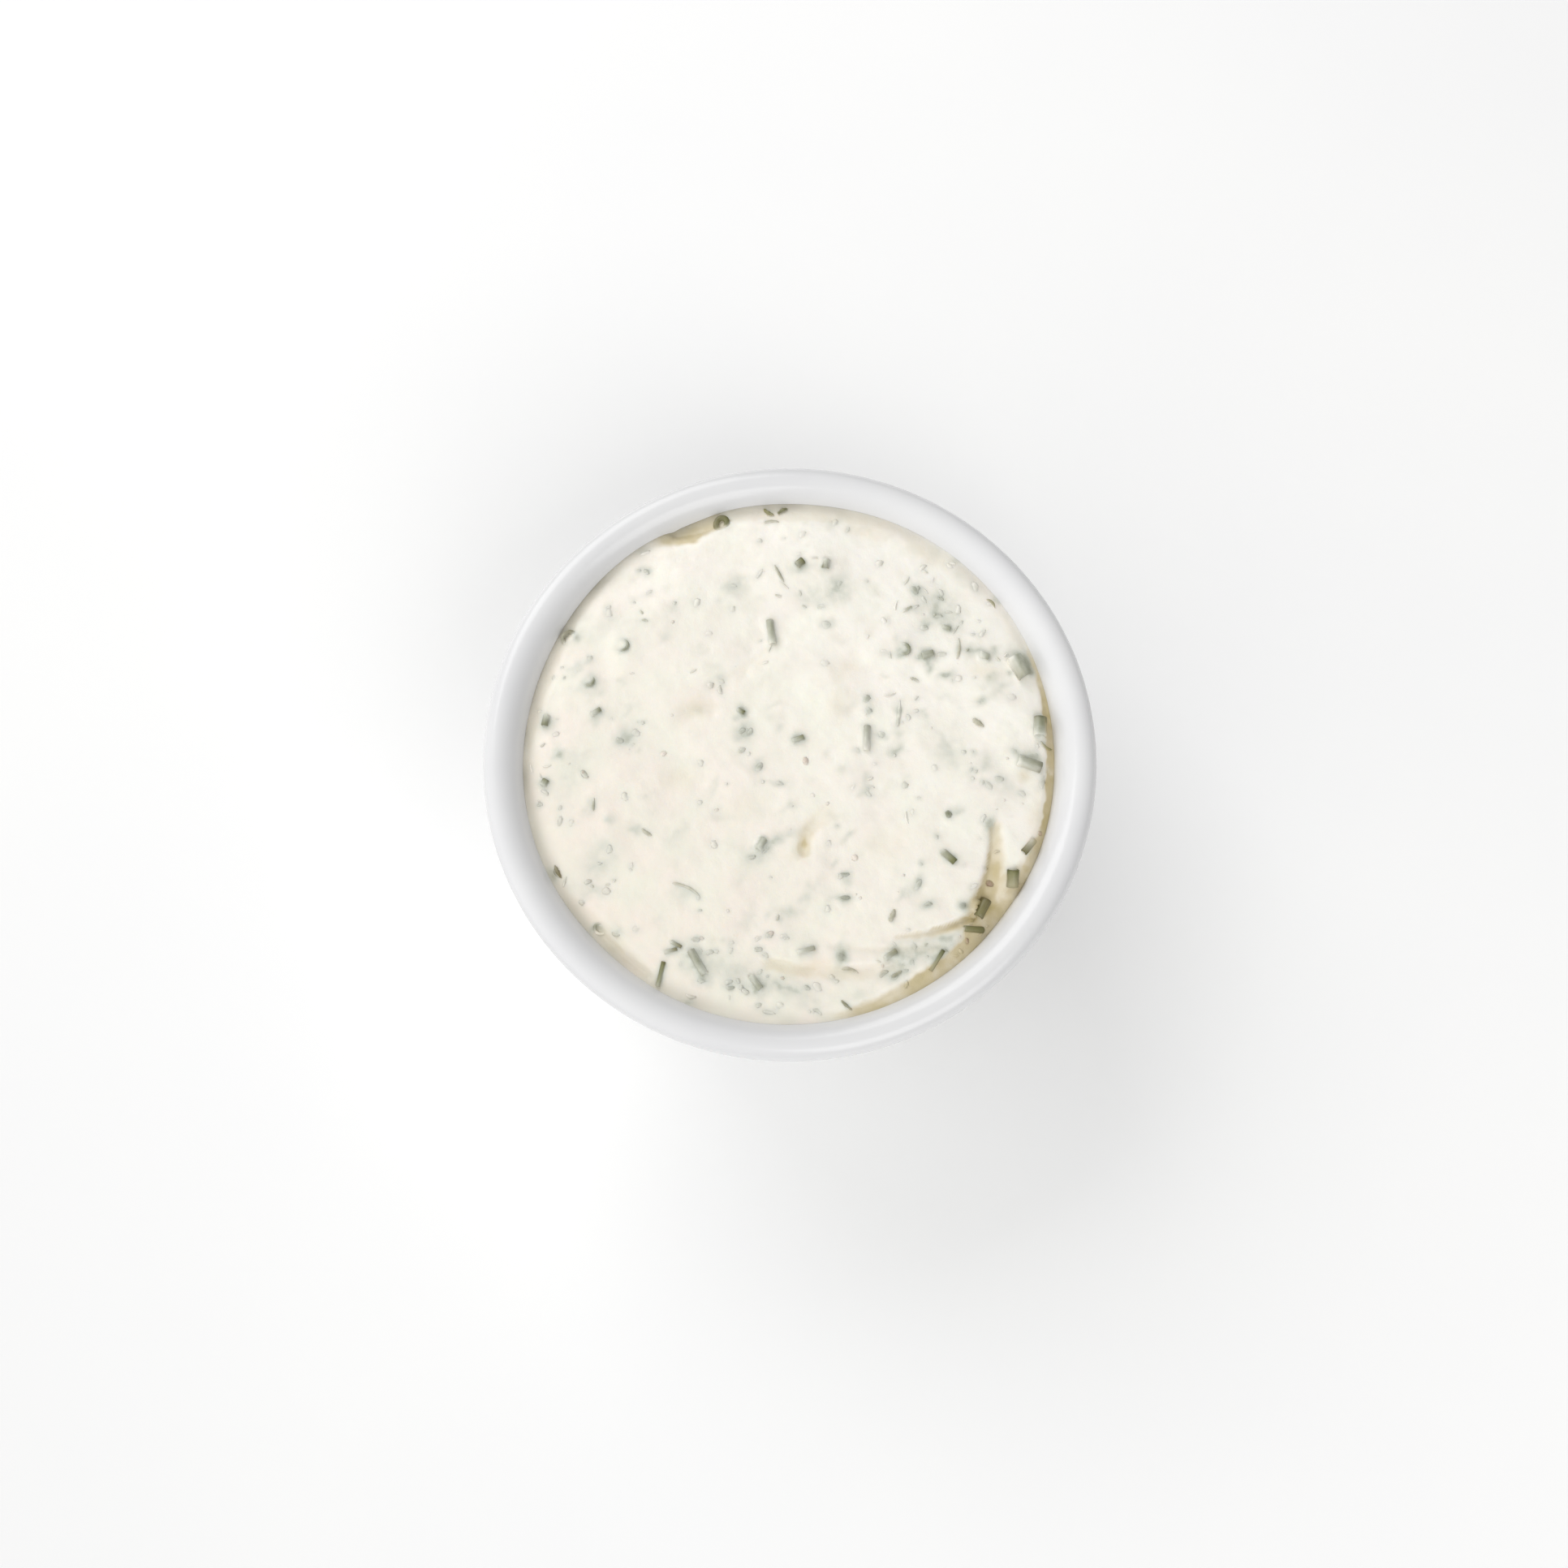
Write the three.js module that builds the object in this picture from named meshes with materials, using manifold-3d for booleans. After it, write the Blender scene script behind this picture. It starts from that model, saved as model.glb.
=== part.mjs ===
// A small round porcelain dip bowl with a thick rolled lip, filled with tartar sauce: a creamy
// sauce with cut chives, dill needles and herb crumbs standing in its surface.
// Millimetres, +Z up. The origin is the centre of the foot, on the table, and the front is -Y.
import * as THREE from "three";
import { mergeVertices } from "three/addons/utils/BufferGeometryUtils.js";
import Module from "manifold-3d";

const wasm = await Module();
wasm.setup();

// ---------------------------------------------------------------- driving dimensions
const DISH_DIAMETER = 90;
const DISH_HEIGHT = 42;
const LIP_RADIUS = DISH_DIAMETER / 2;
const LIP_CREST_RADIUS = LIP_RADIUS - 2.1; // the top of the rolled lip
const LIP_DROP = 2.0; // from the crest down to the widest point
const MOUTH_RADIUS = 39.2; // where the lip's inner roll becomes the inner wall
const MOUTH_DROP = 2.9; // how far below the crest that is
const NECK_RADIUS = 41.6; // the outer wall just under the lip
const NECK_DROP = 8;
const FOOT_RADIUS = 23.6;
const FOOT_WIDTH = 3.2;
const FOOT_HEIGHT = 2.6;
const FOOT_EDGE = 0.5; // the rounding of the foot ring's two edges
const FOOT_DRAFT = 0.2;
const BASE_RECESS = 1.6; // the underside inside the foot ring
const FLOOR_HEIGHT = 7.2; // the dish's inner floor
const DISH_SIDES = 64;

const SAUCE_GAP = 0.3; // between the sauce and the porcelain
const SAUCE_EDGE_HEIGHT = 39.75; // the sauce's mean height at the wall
const SAUCE_EDGE_RISE = 0.35; // higher by this at the front and back, lower by it at the sides
const SAUCE_CROWN = 1.3; // how far the middle stands above the edge
const SAUCE_SHOULDER = 8; // the higher, the nearer the wall the sauce rounds over
const SAUCE_RINGS = 21;
const SAUCE_SKIRT_SIDES = 72; // a ring just under the edge
const SAUCE_SKIRT_DROP = 0.4; // how far down it is on the way from the edge to the level rings
const SAUCE_WALL_TOP = 36.5; // the level rings start under this height
const SAUCE_WALL_SIDES = 48;

const rad = THREE.MathUtils.degToRad;
const polar = (radius, azimuth) => [radius * Math.cos(azimuth), radius * Math.sin(azimuth)];

// ---------------------------------------------------------------- the dish's profile
// Radius and height, from the middle of the underside round the foot, up the bowl's outside,
// over the lip and down to the middle of the inner floor.
const crest = DISH_HEIGHT;

function footProfile() {
  const inside = FOOT_RADIUS - FOOT_WIDTH;
  const path = new THREE.Path();
  path.moveTo(0, BASE_RECESS);
  path.lineTo(inside - FOOT_EDGE, BASE_RECESS);
  path.lineTo(inside, FOOT_EDGE);
  path.lineTo(inside + FOOT_EDGE, 0);
  path.lineTo(FOOT_RADIUS - FOOT_EDGE, 0);
  path.lineTo(FOOT_RADIUS, FOOT_EDGE);
  path.lineTo(FOOT_RADIUS - FOOT_DRAFT, FOOT_HEIGHT);
  return path.getPoints();
}

function outsideProfile() {
  const path = new THREE.Path();
  path.moveTo(FOOT_RADIUS - FOOT_DRAFT, FOOT_HEIGHT);
  path.bezierCurveTo(32.5, 4.6, 39.4, 17, NECK_RADIUS, crest - NECK_DROP);
  return path.getPoints(7);
}

function lipOutsideProfile() {
  const path = new THREE.Path();
  const widest = crest - LIP_DROP;
  path.moveTo(NECK_RADIUS, crest - NECK_DROP);
  path.bezierCurveTo(NECK_RADIUS + 0.5, widest - 3.4, LIP_RADIUS, widest - 2.6, LIP_RADIUS, widest);
  path.bezierCurveTo(LIP_RADIUS, crest - 0.7, LIP_RADIUS - 0.9, crest, LIP_CREST_RADIUS, crest);
  return path.getPoints(4);
}

function lipInsideProfile(divisions) {
  const path = new THREE.Path();
  path.moveTo(LIP_CREST_RADIUS, crest);
  path.bezierCurveTo(41.4, crest, 40.1, crest - 1.1, MOUTH_RADIUS, crest - MOUTH_DROP);
  return path.getPoints(divisions);
}

function insideProfile() {
  const path = new THREE.Path();
  path.moveTo(MOUTH_RADIUS, crest - MOUTH_DROP);
  path.bezierCurveTo(38.7, crest - 4.6, 38.6, crest - 6, 38.2, crest - 9);
  path.bezierCurveTo(36, 16, 26, FLOOR_HEIGHT, 13, FLOOR_HEIGHT);
  return path.getPoints(5);
}

function lathe(points, sides) {
  return new THREE.LatheGeometry(points, sides).rotateX(Math.PI / 2);
}

function dishGeometry() {
  const runs = [outsideProfile(), lipOutsideProfile(), lipInsideProfile(4), insideProfile()];
  const points = [...footProfile(), ...runs.flatMap((run) => run.slice(1))];
  points.push(new THREE.Vector2(0, FLOOR_HEIGHT));
  return lathe(points, DISH_SIDES);
}

// ---------------------------------------------------------------- the inside of the dish
// The inner wall as a line from the crest to the floor, for fitting the sauce to it.
const wall = [...lipInsideProfile(24), ...insideProfile().slice(1)];

// The inner wall's radius at a height.
function wallRadius(height) {
  const below = wall.findIndex((p) => p.y <= height);
  const a = wall[below - 1];
  const b = wall[below];
  return THREE.MathUtils.mapLinear(height, a.y, b.y, a.x, b.x);
}

// ---------------------------------------------------------------- the sauce's relief
// Random numbers from 0 to 1 by Lehmer's rule, the same on every run.
function randomFrom(seed) {
  let state = seed;
  return () => (state = (state * 48271) % 2147483647) / 2147483647;
}

// Where the sauce draws back from the wall: the azimuth of the middle, half the angle it spans,
// how deep it drops at the wall and how far in it reaches.
const EDGE_HOLLOWS = [
  { at: -37.5, span: 11, depth: 1.1, reach: 5.8 },
  { at: -44, span: 30, depth: 0.8, reach: 2.6 },
  { at: -2, span: 22, depth: 1.0, reach: 1.7 },
  { at: 113, span: 7, depth: 0.5, reach: 3.4 },
  { at: 88, span: 20, depth: 0.4, reach: 3.0 },
  { at: 226, span: 15, depth: 0.6, reach: 3.0 },
  { at: 160, span: 22, depth: 0.4, reach: 2.2 },
];

// Furrows left by the spoon: a curve through three points, half its width on its left and on its
// right at the start and at the end, and its depth at the start and at the end.
const FURROWS = [
  { path: [29.6, -11.2, 29.2, -17.0, 27.6, -21.2], left: [1.1, 3.2], right: [0.5, 0.6], depth: [0.4, 1.2] },
  { path: [26.2, -23.8, 22.4, -26.4, 15.5, -27.2], left: [1.1, 0.5], right: [0.4, 0.3], depth: [1.2, 0.1] },
  { path: [21.0, -28.4, 14.0, -29.4, 6.0, -28.6], left: [0.8, 0.5], right: [0.6, 0.5], depth: [0.3, 0.15] },
  { path: [14.8, -31.2, 7.0, -33.0, -2.7, -30.9], left: [1.6, 1.2], right: [0.7, 0.6], depth: [0.5, 0.3] },
  { path: [2.0, -14.6, 1.9, -11.6, 5.2, -9.2], left: [0.9, 1.4], right: [0.9, 1.4], depth: [0.45, 0.1] },
  { path: [-15.0, 6.4, -13.8, 7.2, -12.0, 7.2], left: [1.5, 1.5], right: [1.6, 1.6], depth: [0.25, 0.2] },
  { path: [7.4, 12.9, 8.6, 13.8, 9.5, 14.6], left: [1.5, 1.5], right: [1.6, 1.6], depth: [0.25, 0.2] },
  { path: [-11.2, 10.4, -5.2, 13.2, -2.2, 17.4], left: [0.8, 0.7], right: [1.2, 1.1], depth: [0.16, 0.1] },
  { path: [-17.2, 34.4, -14.5, 34.2, -9.6, 36.2], left: [0.9, 0.9], right: [0.6, 0.6], depth: [0.5, 0.2] },
  { path: [-27.6, -26, -24.4, -29.6, -20.2, -32.6], left: [0.7, 0.6], right: [0.7, 0.6], depth: [0.4, 0.3] },
];
const FURROW_STEPS = 16;

const furrows = FURROWS.map(({ path: [ax, ay, bx, by, cx, cy], ...widths }) => {
  const corners = [new THREE.Vector2(ax, ay), new THREE.Vector2(bx, by), new THREE.Vector2(cx, cy)];
  return { points: new THREE.QuadraticBezierCurve(...corners).getPoints(FURROW_STEPS), ...widths };
});

// How deep one furrow is at a point: a bell across it, wider on one side than on the other.
function furrowDepth({ points, left, right, depth }, x, y) {
  let nearest = Infinity;
  let along = 0;
  let side = 0;
  for (let i = 0; i < FURROW_STEPS; i++) {
    const [a, b] = [points[i], points[i + 1]];
    const [dx, dy] = [b.x - a.x, b.y - a.y];
    const t = THREE.MathUtils.clamp(((x - a.x) * dx + (y - a.y) * dy) / (dx * dx + dy * dy), 0, 1);
    const [ox, oy] = [x - a.x - t * dx, y - a.y - t * dy];
    const distance = Math.hypot(ox, oy);
    if (distance < nearest) {
      nearest = distance;
      along = (i + t) / FURROW_STEPS;
      side = dx * oy - dy * ox;
    }
  }
  const widths = side > 0 ? left : right;
  const width = THREE.MathUtils.lerp(widths[0], widths[1], along);
  return THREE.MathUtils.lerp(depth[0], depth[1], along) * Math.exp(-((nearest / width) ** 2));
}

// Soft swells all over the surface, as thick sauce keeps from being stirred and spooned.
const SWELLS = 90;
const SWELL_REACH = [2.2, 5.5];
const SWELL_HEIGHT = 0.34;

const swells = (() => {
  const random = randomFrom(2027);
  return Array.from({ length: SWELLS }, () => {
    const [x, y] = polar(MOUTH_RADIUS * Math.sqrt(random()), 2 * Math.PI * random());
    const reach = THREE.MathUtils.lerp(...SWELL_REACH, random());
    const height = SWELL_HEIGHT * (2 * random() - 1);
    return { x, y, reach, height };
  });
})();

// The angle between two azimuths, in degrees, from -180 to 180.
const turnBetween = (a, b) => THREE.MathUtils.euclideanModulo(a - b + 180, 360) - 180;

function smooth(t) {
  const s = THREE.MathUtils.clamp(t, 0, 1);
  return s * s * (3 - 2 * s);
}

// The sauce's height above the table at a point.
function sauceHeight(x, y) {
  const radius = Math.hypot(x, y);
  const azimuth = THREE.MathUtils.radToDeg(Math.atan2(y, x));
  const fromWall = Math.max(0, MOUTH_RADIUS - radius);
  const outward = Math.min(1, radius / MOUTH_RADIUS);
  let height = SAUCE_EDGE_HEIGHT + SAUCE_CROWN * (1 - outward ** SAUCE_SHOULDER);
  height -= SAUCE_EDGE_RISE * Math.cos(2 * rad(azimuth)) * outward ** 4;
  for (const { at, span, depth, reach } of EDGE_HOLLOWS) {
    const share = Math.exp(-((turnBetween(azimuth, at) / span) ** 2));
    height -= depth * share * smooth(1.25 - fromWall / (reach * (0.4 + 0.6 * share)));
  }
  for (const furrow of furrows) height -= furrowDepth(furrow, x, y);
  const calm = smooth(fromWall / 4); // the swells die out at the wall
  for (const swell of swells) {
    const distance = Math.hypot(x - swell.x, y - swell.y) / swell.reach;
    height += calm * swell.height * Math.exp(-(distance ** 2));
  }
  return height;
}

// ---------------------------------------------------------------- the sauce's body
// Adds the triangles between two closed rings of vertices, the first inside or above the second.
function stitch(triangles, first, second) {
  const [m, n] = [first.length, second.length];
  let [i, j] = [0, 0];
  while (i < m || j < n) {
    const onFirst = i < m && (j >= n || (i + 1) / m <= (j + 1) / n);
    const corner = onFirst ? first[(i + 1) % m] : second[(j + 1) % n];
    const triangle = [first[i % m], second[j % n], corner];
    if (new Set(triangle).size === 3) triangles.push(...triangle);
    if (onFirst) i++;
    else j++;
  }
}

// A closed body from rings of points: a top of even triangles, a side along the dish's wall
// and a floor, each ring joined to the next.
function sauceBody() {
  const positions = [];
  const triangles = [];
  const rings = [];
  const addRing = (count, pointAt) => {
    const ring = [];
    for (let i = 0; i < count; i++) {
      ring.push(positions.length / 3);
      positions.push(...pointAt((2 * Math.PI * i) / count));
    }
    rings.push(ring);
  };
  const edgeHeight = (azimuth) => sauceHeight(...polar(MOUTH_RADIUS, azimuth));
  const edgeRadius = (azimuth) => wallRadius(edgeHeight(azimuth)) - SAUCE_GAP;

  for (let ring = 0; ring <= SAUCE_RINGS; ring++) {
    addRing(Math.max(1, 6 * ring), (azimuth) => {
      const radius = (edgeRadius(azimuth) * ring) / SAUCE_RINGS;
      const [x, y] = polar(radius, azimuth);
      return [x, y, ring === SAUCE_RINGS ? edgeHeight(azimuth) : sauceHeight(x, y)];
    });
  }
  addRing(SAUCE_SKIRT_SIDES, (azimuth) => {
    const height = THREE.MathUtils.lerp(edgeHeight(azimuth), SAUCE_WALL_TOP, SAUCE_SKIRT_DROP);
    return [...polar(wallRadius(height) - SAUCE_GAP, azimuth), height];
  });
  for (const { x, y } of insideProfile().filter((point) => point.y < SAUCE_WALL_TOP)) {
    addRing(SAUCE_WALL_SIDES, (azimuth) => [...polar(x - SAUCE_GAP, azimuth), y + SAUCE_GAP]);
  }
  addRing(1, () => [0, 0, FLOOR_HEIGHT + SAUCE_GAP]);
  for (let i = 1; i < rings.length; i++) stitch(triangles, rings[i - 1], rings[i]);
  const geometry = new THREE.BufferGeometry();
  geometry.setAttribute("position", new THREE.Float32BufferAttribute(positions, 3));
  geometry.setIndex(triangles);
  return geometry;
}

// ---------------------------------------------------------------- solids
function solidFrom(geometry) {
  const bare = geometry.index ? geometry.toNonIndexed() : geometry.clone();
  bare.deleteAttribute("normal");
  bare.deleteAttribute("uv");
  const merged = mergeVertices(bare, 1e-4);
  const vertProperties = new Float32Array(merged.attributes.position.array);
  const triVerts = new Uint32Array(merged.index.array);
  return new wasm.Manifold(new wasm.Mesh({ numProp: 3, vertProperties, triVerts }));
}

function geometryFrom(solid) {
  const { vertProperties, triVerts } = solid.getMesh();
  const geometry = new THREE.BufferGeometry();
  geometry.setAttribute("position", new THREE.BufferAttribute(vertProperties, 3));
  geometry.setIndex(new THREE.BufferAttribute(triVerts, 1));
  return geometry;
}

// ---------------------------------------------------------------- the herbs
// Cut chives, the largest pieces: x, y, the azimuth of the length, the length and the diameter.
const CHIVES = [
  [27.8, -22.6, 62, 2.9, 1.8],
  [32.5, -18.4, 88, 2.4, 1.8],
  [35.6, -14.0, 50, 2.6, 1.1],
  [26.5, -25.8, 2, 2.9, 1.0],
  [21.1, -30.5, 57, 3.5, 0.9],
  [23.0, -15.5, -42, 2.4, 1.0],
  [35.1, -1.4, -18, 3.6, 1.8],
  [35.2, 13.9, -60, 3.6, 2.4],
  [37.2, 4.4, 88, 2.9, 1.9],
  [11.3, 2.3, 88, 3.8, 1.1],
  [-2.8, 18.8, -82, 3.8, 1.1],
  [-13.2, -30.9, -59, 4.1, 1.1],
  [-18.5, -32.5, 76, 3.6, 0.8],
  [-16.3, -28.3, -28, 1.5, 0.7],
  [-17.1, -29.2, 35, 1.5, 0.7],
  [-4.2, -13.6, 62, 1.9, 1.0],
  [2.3, -29.2, 17, 2.6, 0.8],
  [-4.9, -33.8, -52, 2.4, 1.0],
  [20.4, 15.2, 15, 1.8, 1.1],
  [28.8, 15.1, -20, 1.4, 1.1],
  [-28.6, 6.4, 32, 1.7, 0.8],
  [-36.0, 5.3, 80, 1.7, 1.1],
  [1.5, 29.5, 40, 1.3, 1.2],
  [5.4, 29.3, 80, 1.5, 1.1],
  [14.4, -29.8, 35, 2.1, 0.8],
  [1.2, 2.2, 20, 1.8, 0.8],
  [23.3, 19.5, -20, 1.2, 0.7],
  [-35.9, -4.2, 60, 1.1, 1.1],
  [-7.2, 6.5, -30, 1.2, 0.8],
];

// Chive rings that lie on their cut face: x, y, diameter and wall.
const RINGS = [
  [-10.3, 36.1, 2.7, 0.95],
  [-25.0, 16.7, 2.3, 0.45],
  [-27.9, -26.3, 2.1, 0.5],
  [-32.9, 18.2, 2.5, 0.6],
  [-29.6, 11.2, 1.7, 0.45],
  [16.8, 16.1, 2.2, 0.5],
];

// Needles of dill: x, y, the azimuth of the length, and the length.
const NEEDLES = [
  [24.9, 16.2, 94, 3.3],
  [-1.6, 27.9, -62, 3.0],
  [-15.0, -20.3, -26, 4.3],
  [8.6, -32.1, -12, 2.4],
  [8.1, -37.0, -40, 2.0],
  [-2.8, 36.2, 4, 2.3],
  [14.7, -24.1, 68, 1.9],
  [27.7, 4.8, -35, 1.9],
  [18.4, 11.3, -22, 1.4],
  [-34.5, -17.9, -62, 2.1],
  [30.9, 24.2, -48, 1.8],
  [38.0, 1.7, -15, 1.7],
  [17.5, 22.4, 30, 1.4],
  [-20.8, -11.8, -35, 1.7],
  [16.0, 6.2, 84, 4.1],
  [15.3, -32.5, 30, 1.7],
  [-3.2, 38.5, -35, 1.8],
  [-1.1, 38.4, 33, 1.7],
];
const NEEDLE_DIAMETER = 0.5;

// The larger crumbs of leaf: x, y and width.
const CRUMBS = [
  [23.1, -9.2, 1.2],
  [28.9, -10.6, 1.1],
  [21.2, -12.5, 0.9],
  [19.0, -16.4, 1.0],
  [25.0, -22.6, 1.0],
  [30.6, -3.7, 1.2],
  [18.6, 25.3, 1.1],
  [11.3, 8.4, 1.1],
  [-11.5, -27.8, 1.0],
  [0.2, -7.8, 1.1],
  [7.4, -30.3, 1.2],
  [8.0, -19.5, 1.0],
  [-33.8, 0.1, 1.0],
  [-26.5, -9.8, 1.0],
  [-29.6, 14.8, 1.1],
  [7.4, -2.5, 1.1],
];

// More crumbs between them, by random draw, each at least this far from every other piece.
const MORE_CRUMBS = 24;
const CRUMB_SPACING = 4.2;
const CRUMB_SIZE = [0.9, 1.4];

const PIECE_SIDES = 8;
const RING_SIDES = 10;
const RING_HEIGHT = 1.3;
const PIECE_RISE = 0.2; // a piece's middle lies above the surface by this share of its thickness

// A point drawn in from the wall until a piece of this length and thickness is clear of it.
function clearOfWall(x, y, length, thickness) {
  const foot = sauceHeight(x, y) - thickness / 2;
  const most = wallRadius(foot) - SAUCE_GAP - Math.hypot(length, thickness) / 2;
  const scale = Math.min(1, most / Math.hypot(x, y));
  return [x * scale, y * scale];
}

// Lays a shape whose length is along Z on the surface, along an azimuth and with the slope there.
function laid(geometry, x, y, azimuth, length, thickness) {
  const [cx, cy] = clearOfWall(x, y, length, thickness);
  const [ux, uy] = polar(length / 2, rad(azimuth));
  const rise = thickness * PIECE_RISE;
  const end = (sign) => {
    const [ex, ey] = [cx + sign * ux, cy + sign * uy];
    return new THREE.Vector3(ex, ey, sauceHeight(ex, ey) + rise);
  };
  const [from, to] = [end(-1), end(1)];
  const direction = to.clone().sub(from).normalize();
  const turn = new THREE.Quaternion().setFromUnitVectors(new THREE.Vector3(0, 0, 1), direction);
  const middle = from.add(to).multiplyScalar(0.5);
  return geometry.applyQuaternion(turn).translate(middle.x, middle.y, middle.z);
}

function chive([x, y, azimuth, length, diameter]) {
  const radius = diameter / 2;
  const tube = new THREE.CylinderGeometry(radius, radius, length, PIECE_SIDES).rotateX(Math.PI / 2);
  return laid(tube, x, y, azimuth, length, diameter);
}

function needle([x, y, azimuth, length]) {
  const [a, b] = [NEEDLE_DIAMETER / 2, length / 2];
  const outline = [[0, -b], [a * 0.8, -b * 0.8], [a, 0], [a * 0.6, b * 0.8], [0, b]];
  const blade = lathe(outline.map(([r, z]) => new THREE.Vector2(r, z)), 6);
  return laid(blade, x, y, azimuth, length, NEEDLE_DIAMETER);
}

function chiveRing([x, y, diameter, width]) {
  const [outer, inner] = [diameter / 2, diameter / 2 - width];
  const [low, high] = [-RING_HEIGHT / 2, RING_HEIGHT / 2];
  const section = [[inner, low], [outer, low], [outer, high], [inner, high], [inner, low]];
  const [cx, cy] = clearOfWall(x, y, diameter, RING_HEIGHT);
  return lathe(section.map(([r, z]) => new THREE.Vector2(r, z)), RING_SIDES)
    .translate(cx, cy, sauceHeight(cx, cy));
}

function crumb(x, y, width, random) {
  const length = width * THREE.MathUtils.lerp(0.8, 1.5, random());
  const height = width * 0.6;
  const lump = new THREE.SphereGeometry(0.5, 6, 3).scale(width, height, length);
  return laid(lump, x, y, 360 * random(), length, height);
}

function crumbs() {
  const random = randomFrom(4711);
  const taken = [...CHIVES, ...RINGS, ...NEEDLES, ...CRUMBS].map(([x, y]) => [x, y]);
  const shapes = CRUMBS.map(([x, y, width]) => crumb(x, y, width, random));
  while (shapes.length < CRUMBS.length + MORE_CRUMBS) {
    const [x, y] = polar((MOUTH_RADIUS - 2) * Math.sqrt(random()), 2 * Math.PI * random());
    if (taken.some(([a, b]) => Math.hypot(a - x, b - y) < CRUMB_SPACING)) continue;
    taken.push([x, y]);
    shapes.push(crumb(x, y, THREE.MathUtils.lerp(...CRUMB_SIZE, random()), random));
  }
  return shapes;
}

// ---------------------------------------------------------------- the two sub-parts
function tartarSauceGeometry() {
  const pieces = [...CHIVES.map(chive), ...RINGS.map(chiveRing), ...NEEDLES.map(needle), ...crumbs()];
  const body = solidFrom(sauceBody());
  return geometryFrom(pieces.reduce((solid, piece) => solid.add(solidFrom(piece)), body));
}

const porcelain = new THREE.MeshStandardMaterial({ color: 0xeeeeec, roughness: 0.15, metalness: 0 });
const cream = new THREE.MeshStandardMaterial({ color: 0xf6efe0, roughness: 0.35, metalness: 0 });

function named(name, geometry, material) {
  const mesh = new THREE.Mesh(geometry, material);
  mesh.name = name;
  return mesh;
}

const group = new THREE.Group();
group.add(named("dish", dishGeometry(), porcelain));
group.add(named("tartar_sauce", tartarSauceGeometry(), cream));

export default group;
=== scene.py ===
"""Tartar sauce in a small round porcelain dip bowl with a thick rolled lip.

Shapes are worked out in millimetres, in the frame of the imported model: +Z up, the origin at the
centre of the bowl's foot, and the front at -Y. They go into their meshes in metres. The sauce's
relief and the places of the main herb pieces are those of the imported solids. What the solids leave
out is added: the fine ripples, the film of sauce on the herbs, the small crumbs and the specks.
"""

import math

import bpy
import numpy as np
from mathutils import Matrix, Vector


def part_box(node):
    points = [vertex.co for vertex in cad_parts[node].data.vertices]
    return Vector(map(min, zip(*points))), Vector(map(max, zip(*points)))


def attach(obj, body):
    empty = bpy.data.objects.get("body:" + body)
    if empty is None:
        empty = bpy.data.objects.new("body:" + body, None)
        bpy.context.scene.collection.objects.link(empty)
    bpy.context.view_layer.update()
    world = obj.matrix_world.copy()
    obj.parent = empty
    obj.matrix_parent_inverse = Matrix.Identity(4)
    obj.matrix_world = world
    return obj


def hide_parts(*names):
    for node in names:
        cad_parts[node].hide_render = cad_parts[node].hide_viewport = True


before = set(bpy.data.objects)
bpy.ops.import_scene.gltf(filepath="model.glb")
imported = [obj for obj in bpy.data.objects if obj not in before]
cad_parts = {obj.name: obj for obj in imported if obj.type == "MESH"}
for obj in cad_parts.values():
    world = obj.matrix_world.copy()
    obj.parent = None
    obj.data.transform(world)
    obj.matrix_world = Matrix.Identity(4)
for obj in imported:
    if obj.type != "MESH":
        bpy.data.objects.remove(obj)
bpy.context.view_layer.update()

# ------------------------------------------------------------------ sizes, in millimetres
MM = 0.001
_, dish_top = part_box("dish")
LIP_RADIUS = dish_top.x / MM
CREST = dish_top.z / MM
LIP_CREST_RADIUS = LIP_RADIUS - 2.1
LIP_DROP = 2.0
MOUTH_RADIUS = 39.2
MOUTH_DROP = 2.9
NECK_RADIUS = 41.6
NECK_DROP = 8.0
FOOT_RADIUS = 23.6
FOOT_WIDTH = 3.2
FOOT_HEIGHT = 2.6
FOOT_EDGE = 0.5  # the rounding of the foot ring's edges
FOOT_DRAFT = 0.2  # how far the foot ring leans in on its outside
BASE_RECESS = 1.6
BASE_RING = 6.0  # from the foot ring in to the flat base's last ring of points
FLOOR_HEIGHT = 7.2
FLOOR_RADIUS = 13.0
WAIST_RADIUS = 38.2  # the inside under the mouth
WAIST_DROP = 9.0
DISH_SIDES = 288

SAUCE_EDGE_HEIGHT = 39.75
SAUCE_EDGE_RISE = 0.35
SAUCE_CROWN = 1.3
SAUCE_SHOULDER = 8  # the higher, the nearer the wall the sauce rounds over
SAUCE_GRID = 300  # squares across the sauce's top
SAUCE_EDGE_CROWDING = 1.2  # above 1, the squares are narrower towards the wall
SAUCE_INTO_WALL = 0.05  # the sauce wets the porcelain, so its edge reaches just into it
SAUCE_SIDE_GAP = 0.1  # under the edge, where it isn't seen, the sauce stays clear of the dish
SAUCE_BASE_GAP = 0.6
SAUCE_LEVELS = (0.12, 0.3, 0.55, 0.8, 1.0)  # the rings of its side, from the edge to the base
PIECE_CLEARANCE = 0.3  # between a herb piece and the dish

PHOTO_WIDTH = 1932  # the photograph's frame, in pixels
OBJECT_PIXEL = (973.3, 931.0)  # where the middle of the rim's plane falls in it
CAMERA_ELEVATION = math.radians(74.8)
CAMERA_DISTANCE = 350.0
PIXELS_PER_MM = 8.39  # at that distance
SENSOR_WIDTH = 36.0
RIM_PLANE = 40.0  # the height that the camera and the lights look at
FLOOR_REACH = 1500.0  # from the object to the floor's borders

LIT_SIDE = 42  # the azimuth towards which the painted light on the cream is brightest

ROOM_AZIMUTH = 210  # the room's brightest side, in degrees
ROOM_ELEVATION = 20
ROOM_SHADE = 0.12  # the light from its darkest side
ROOM_GLOW = 1.06  # what its brightest side adds
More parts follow.
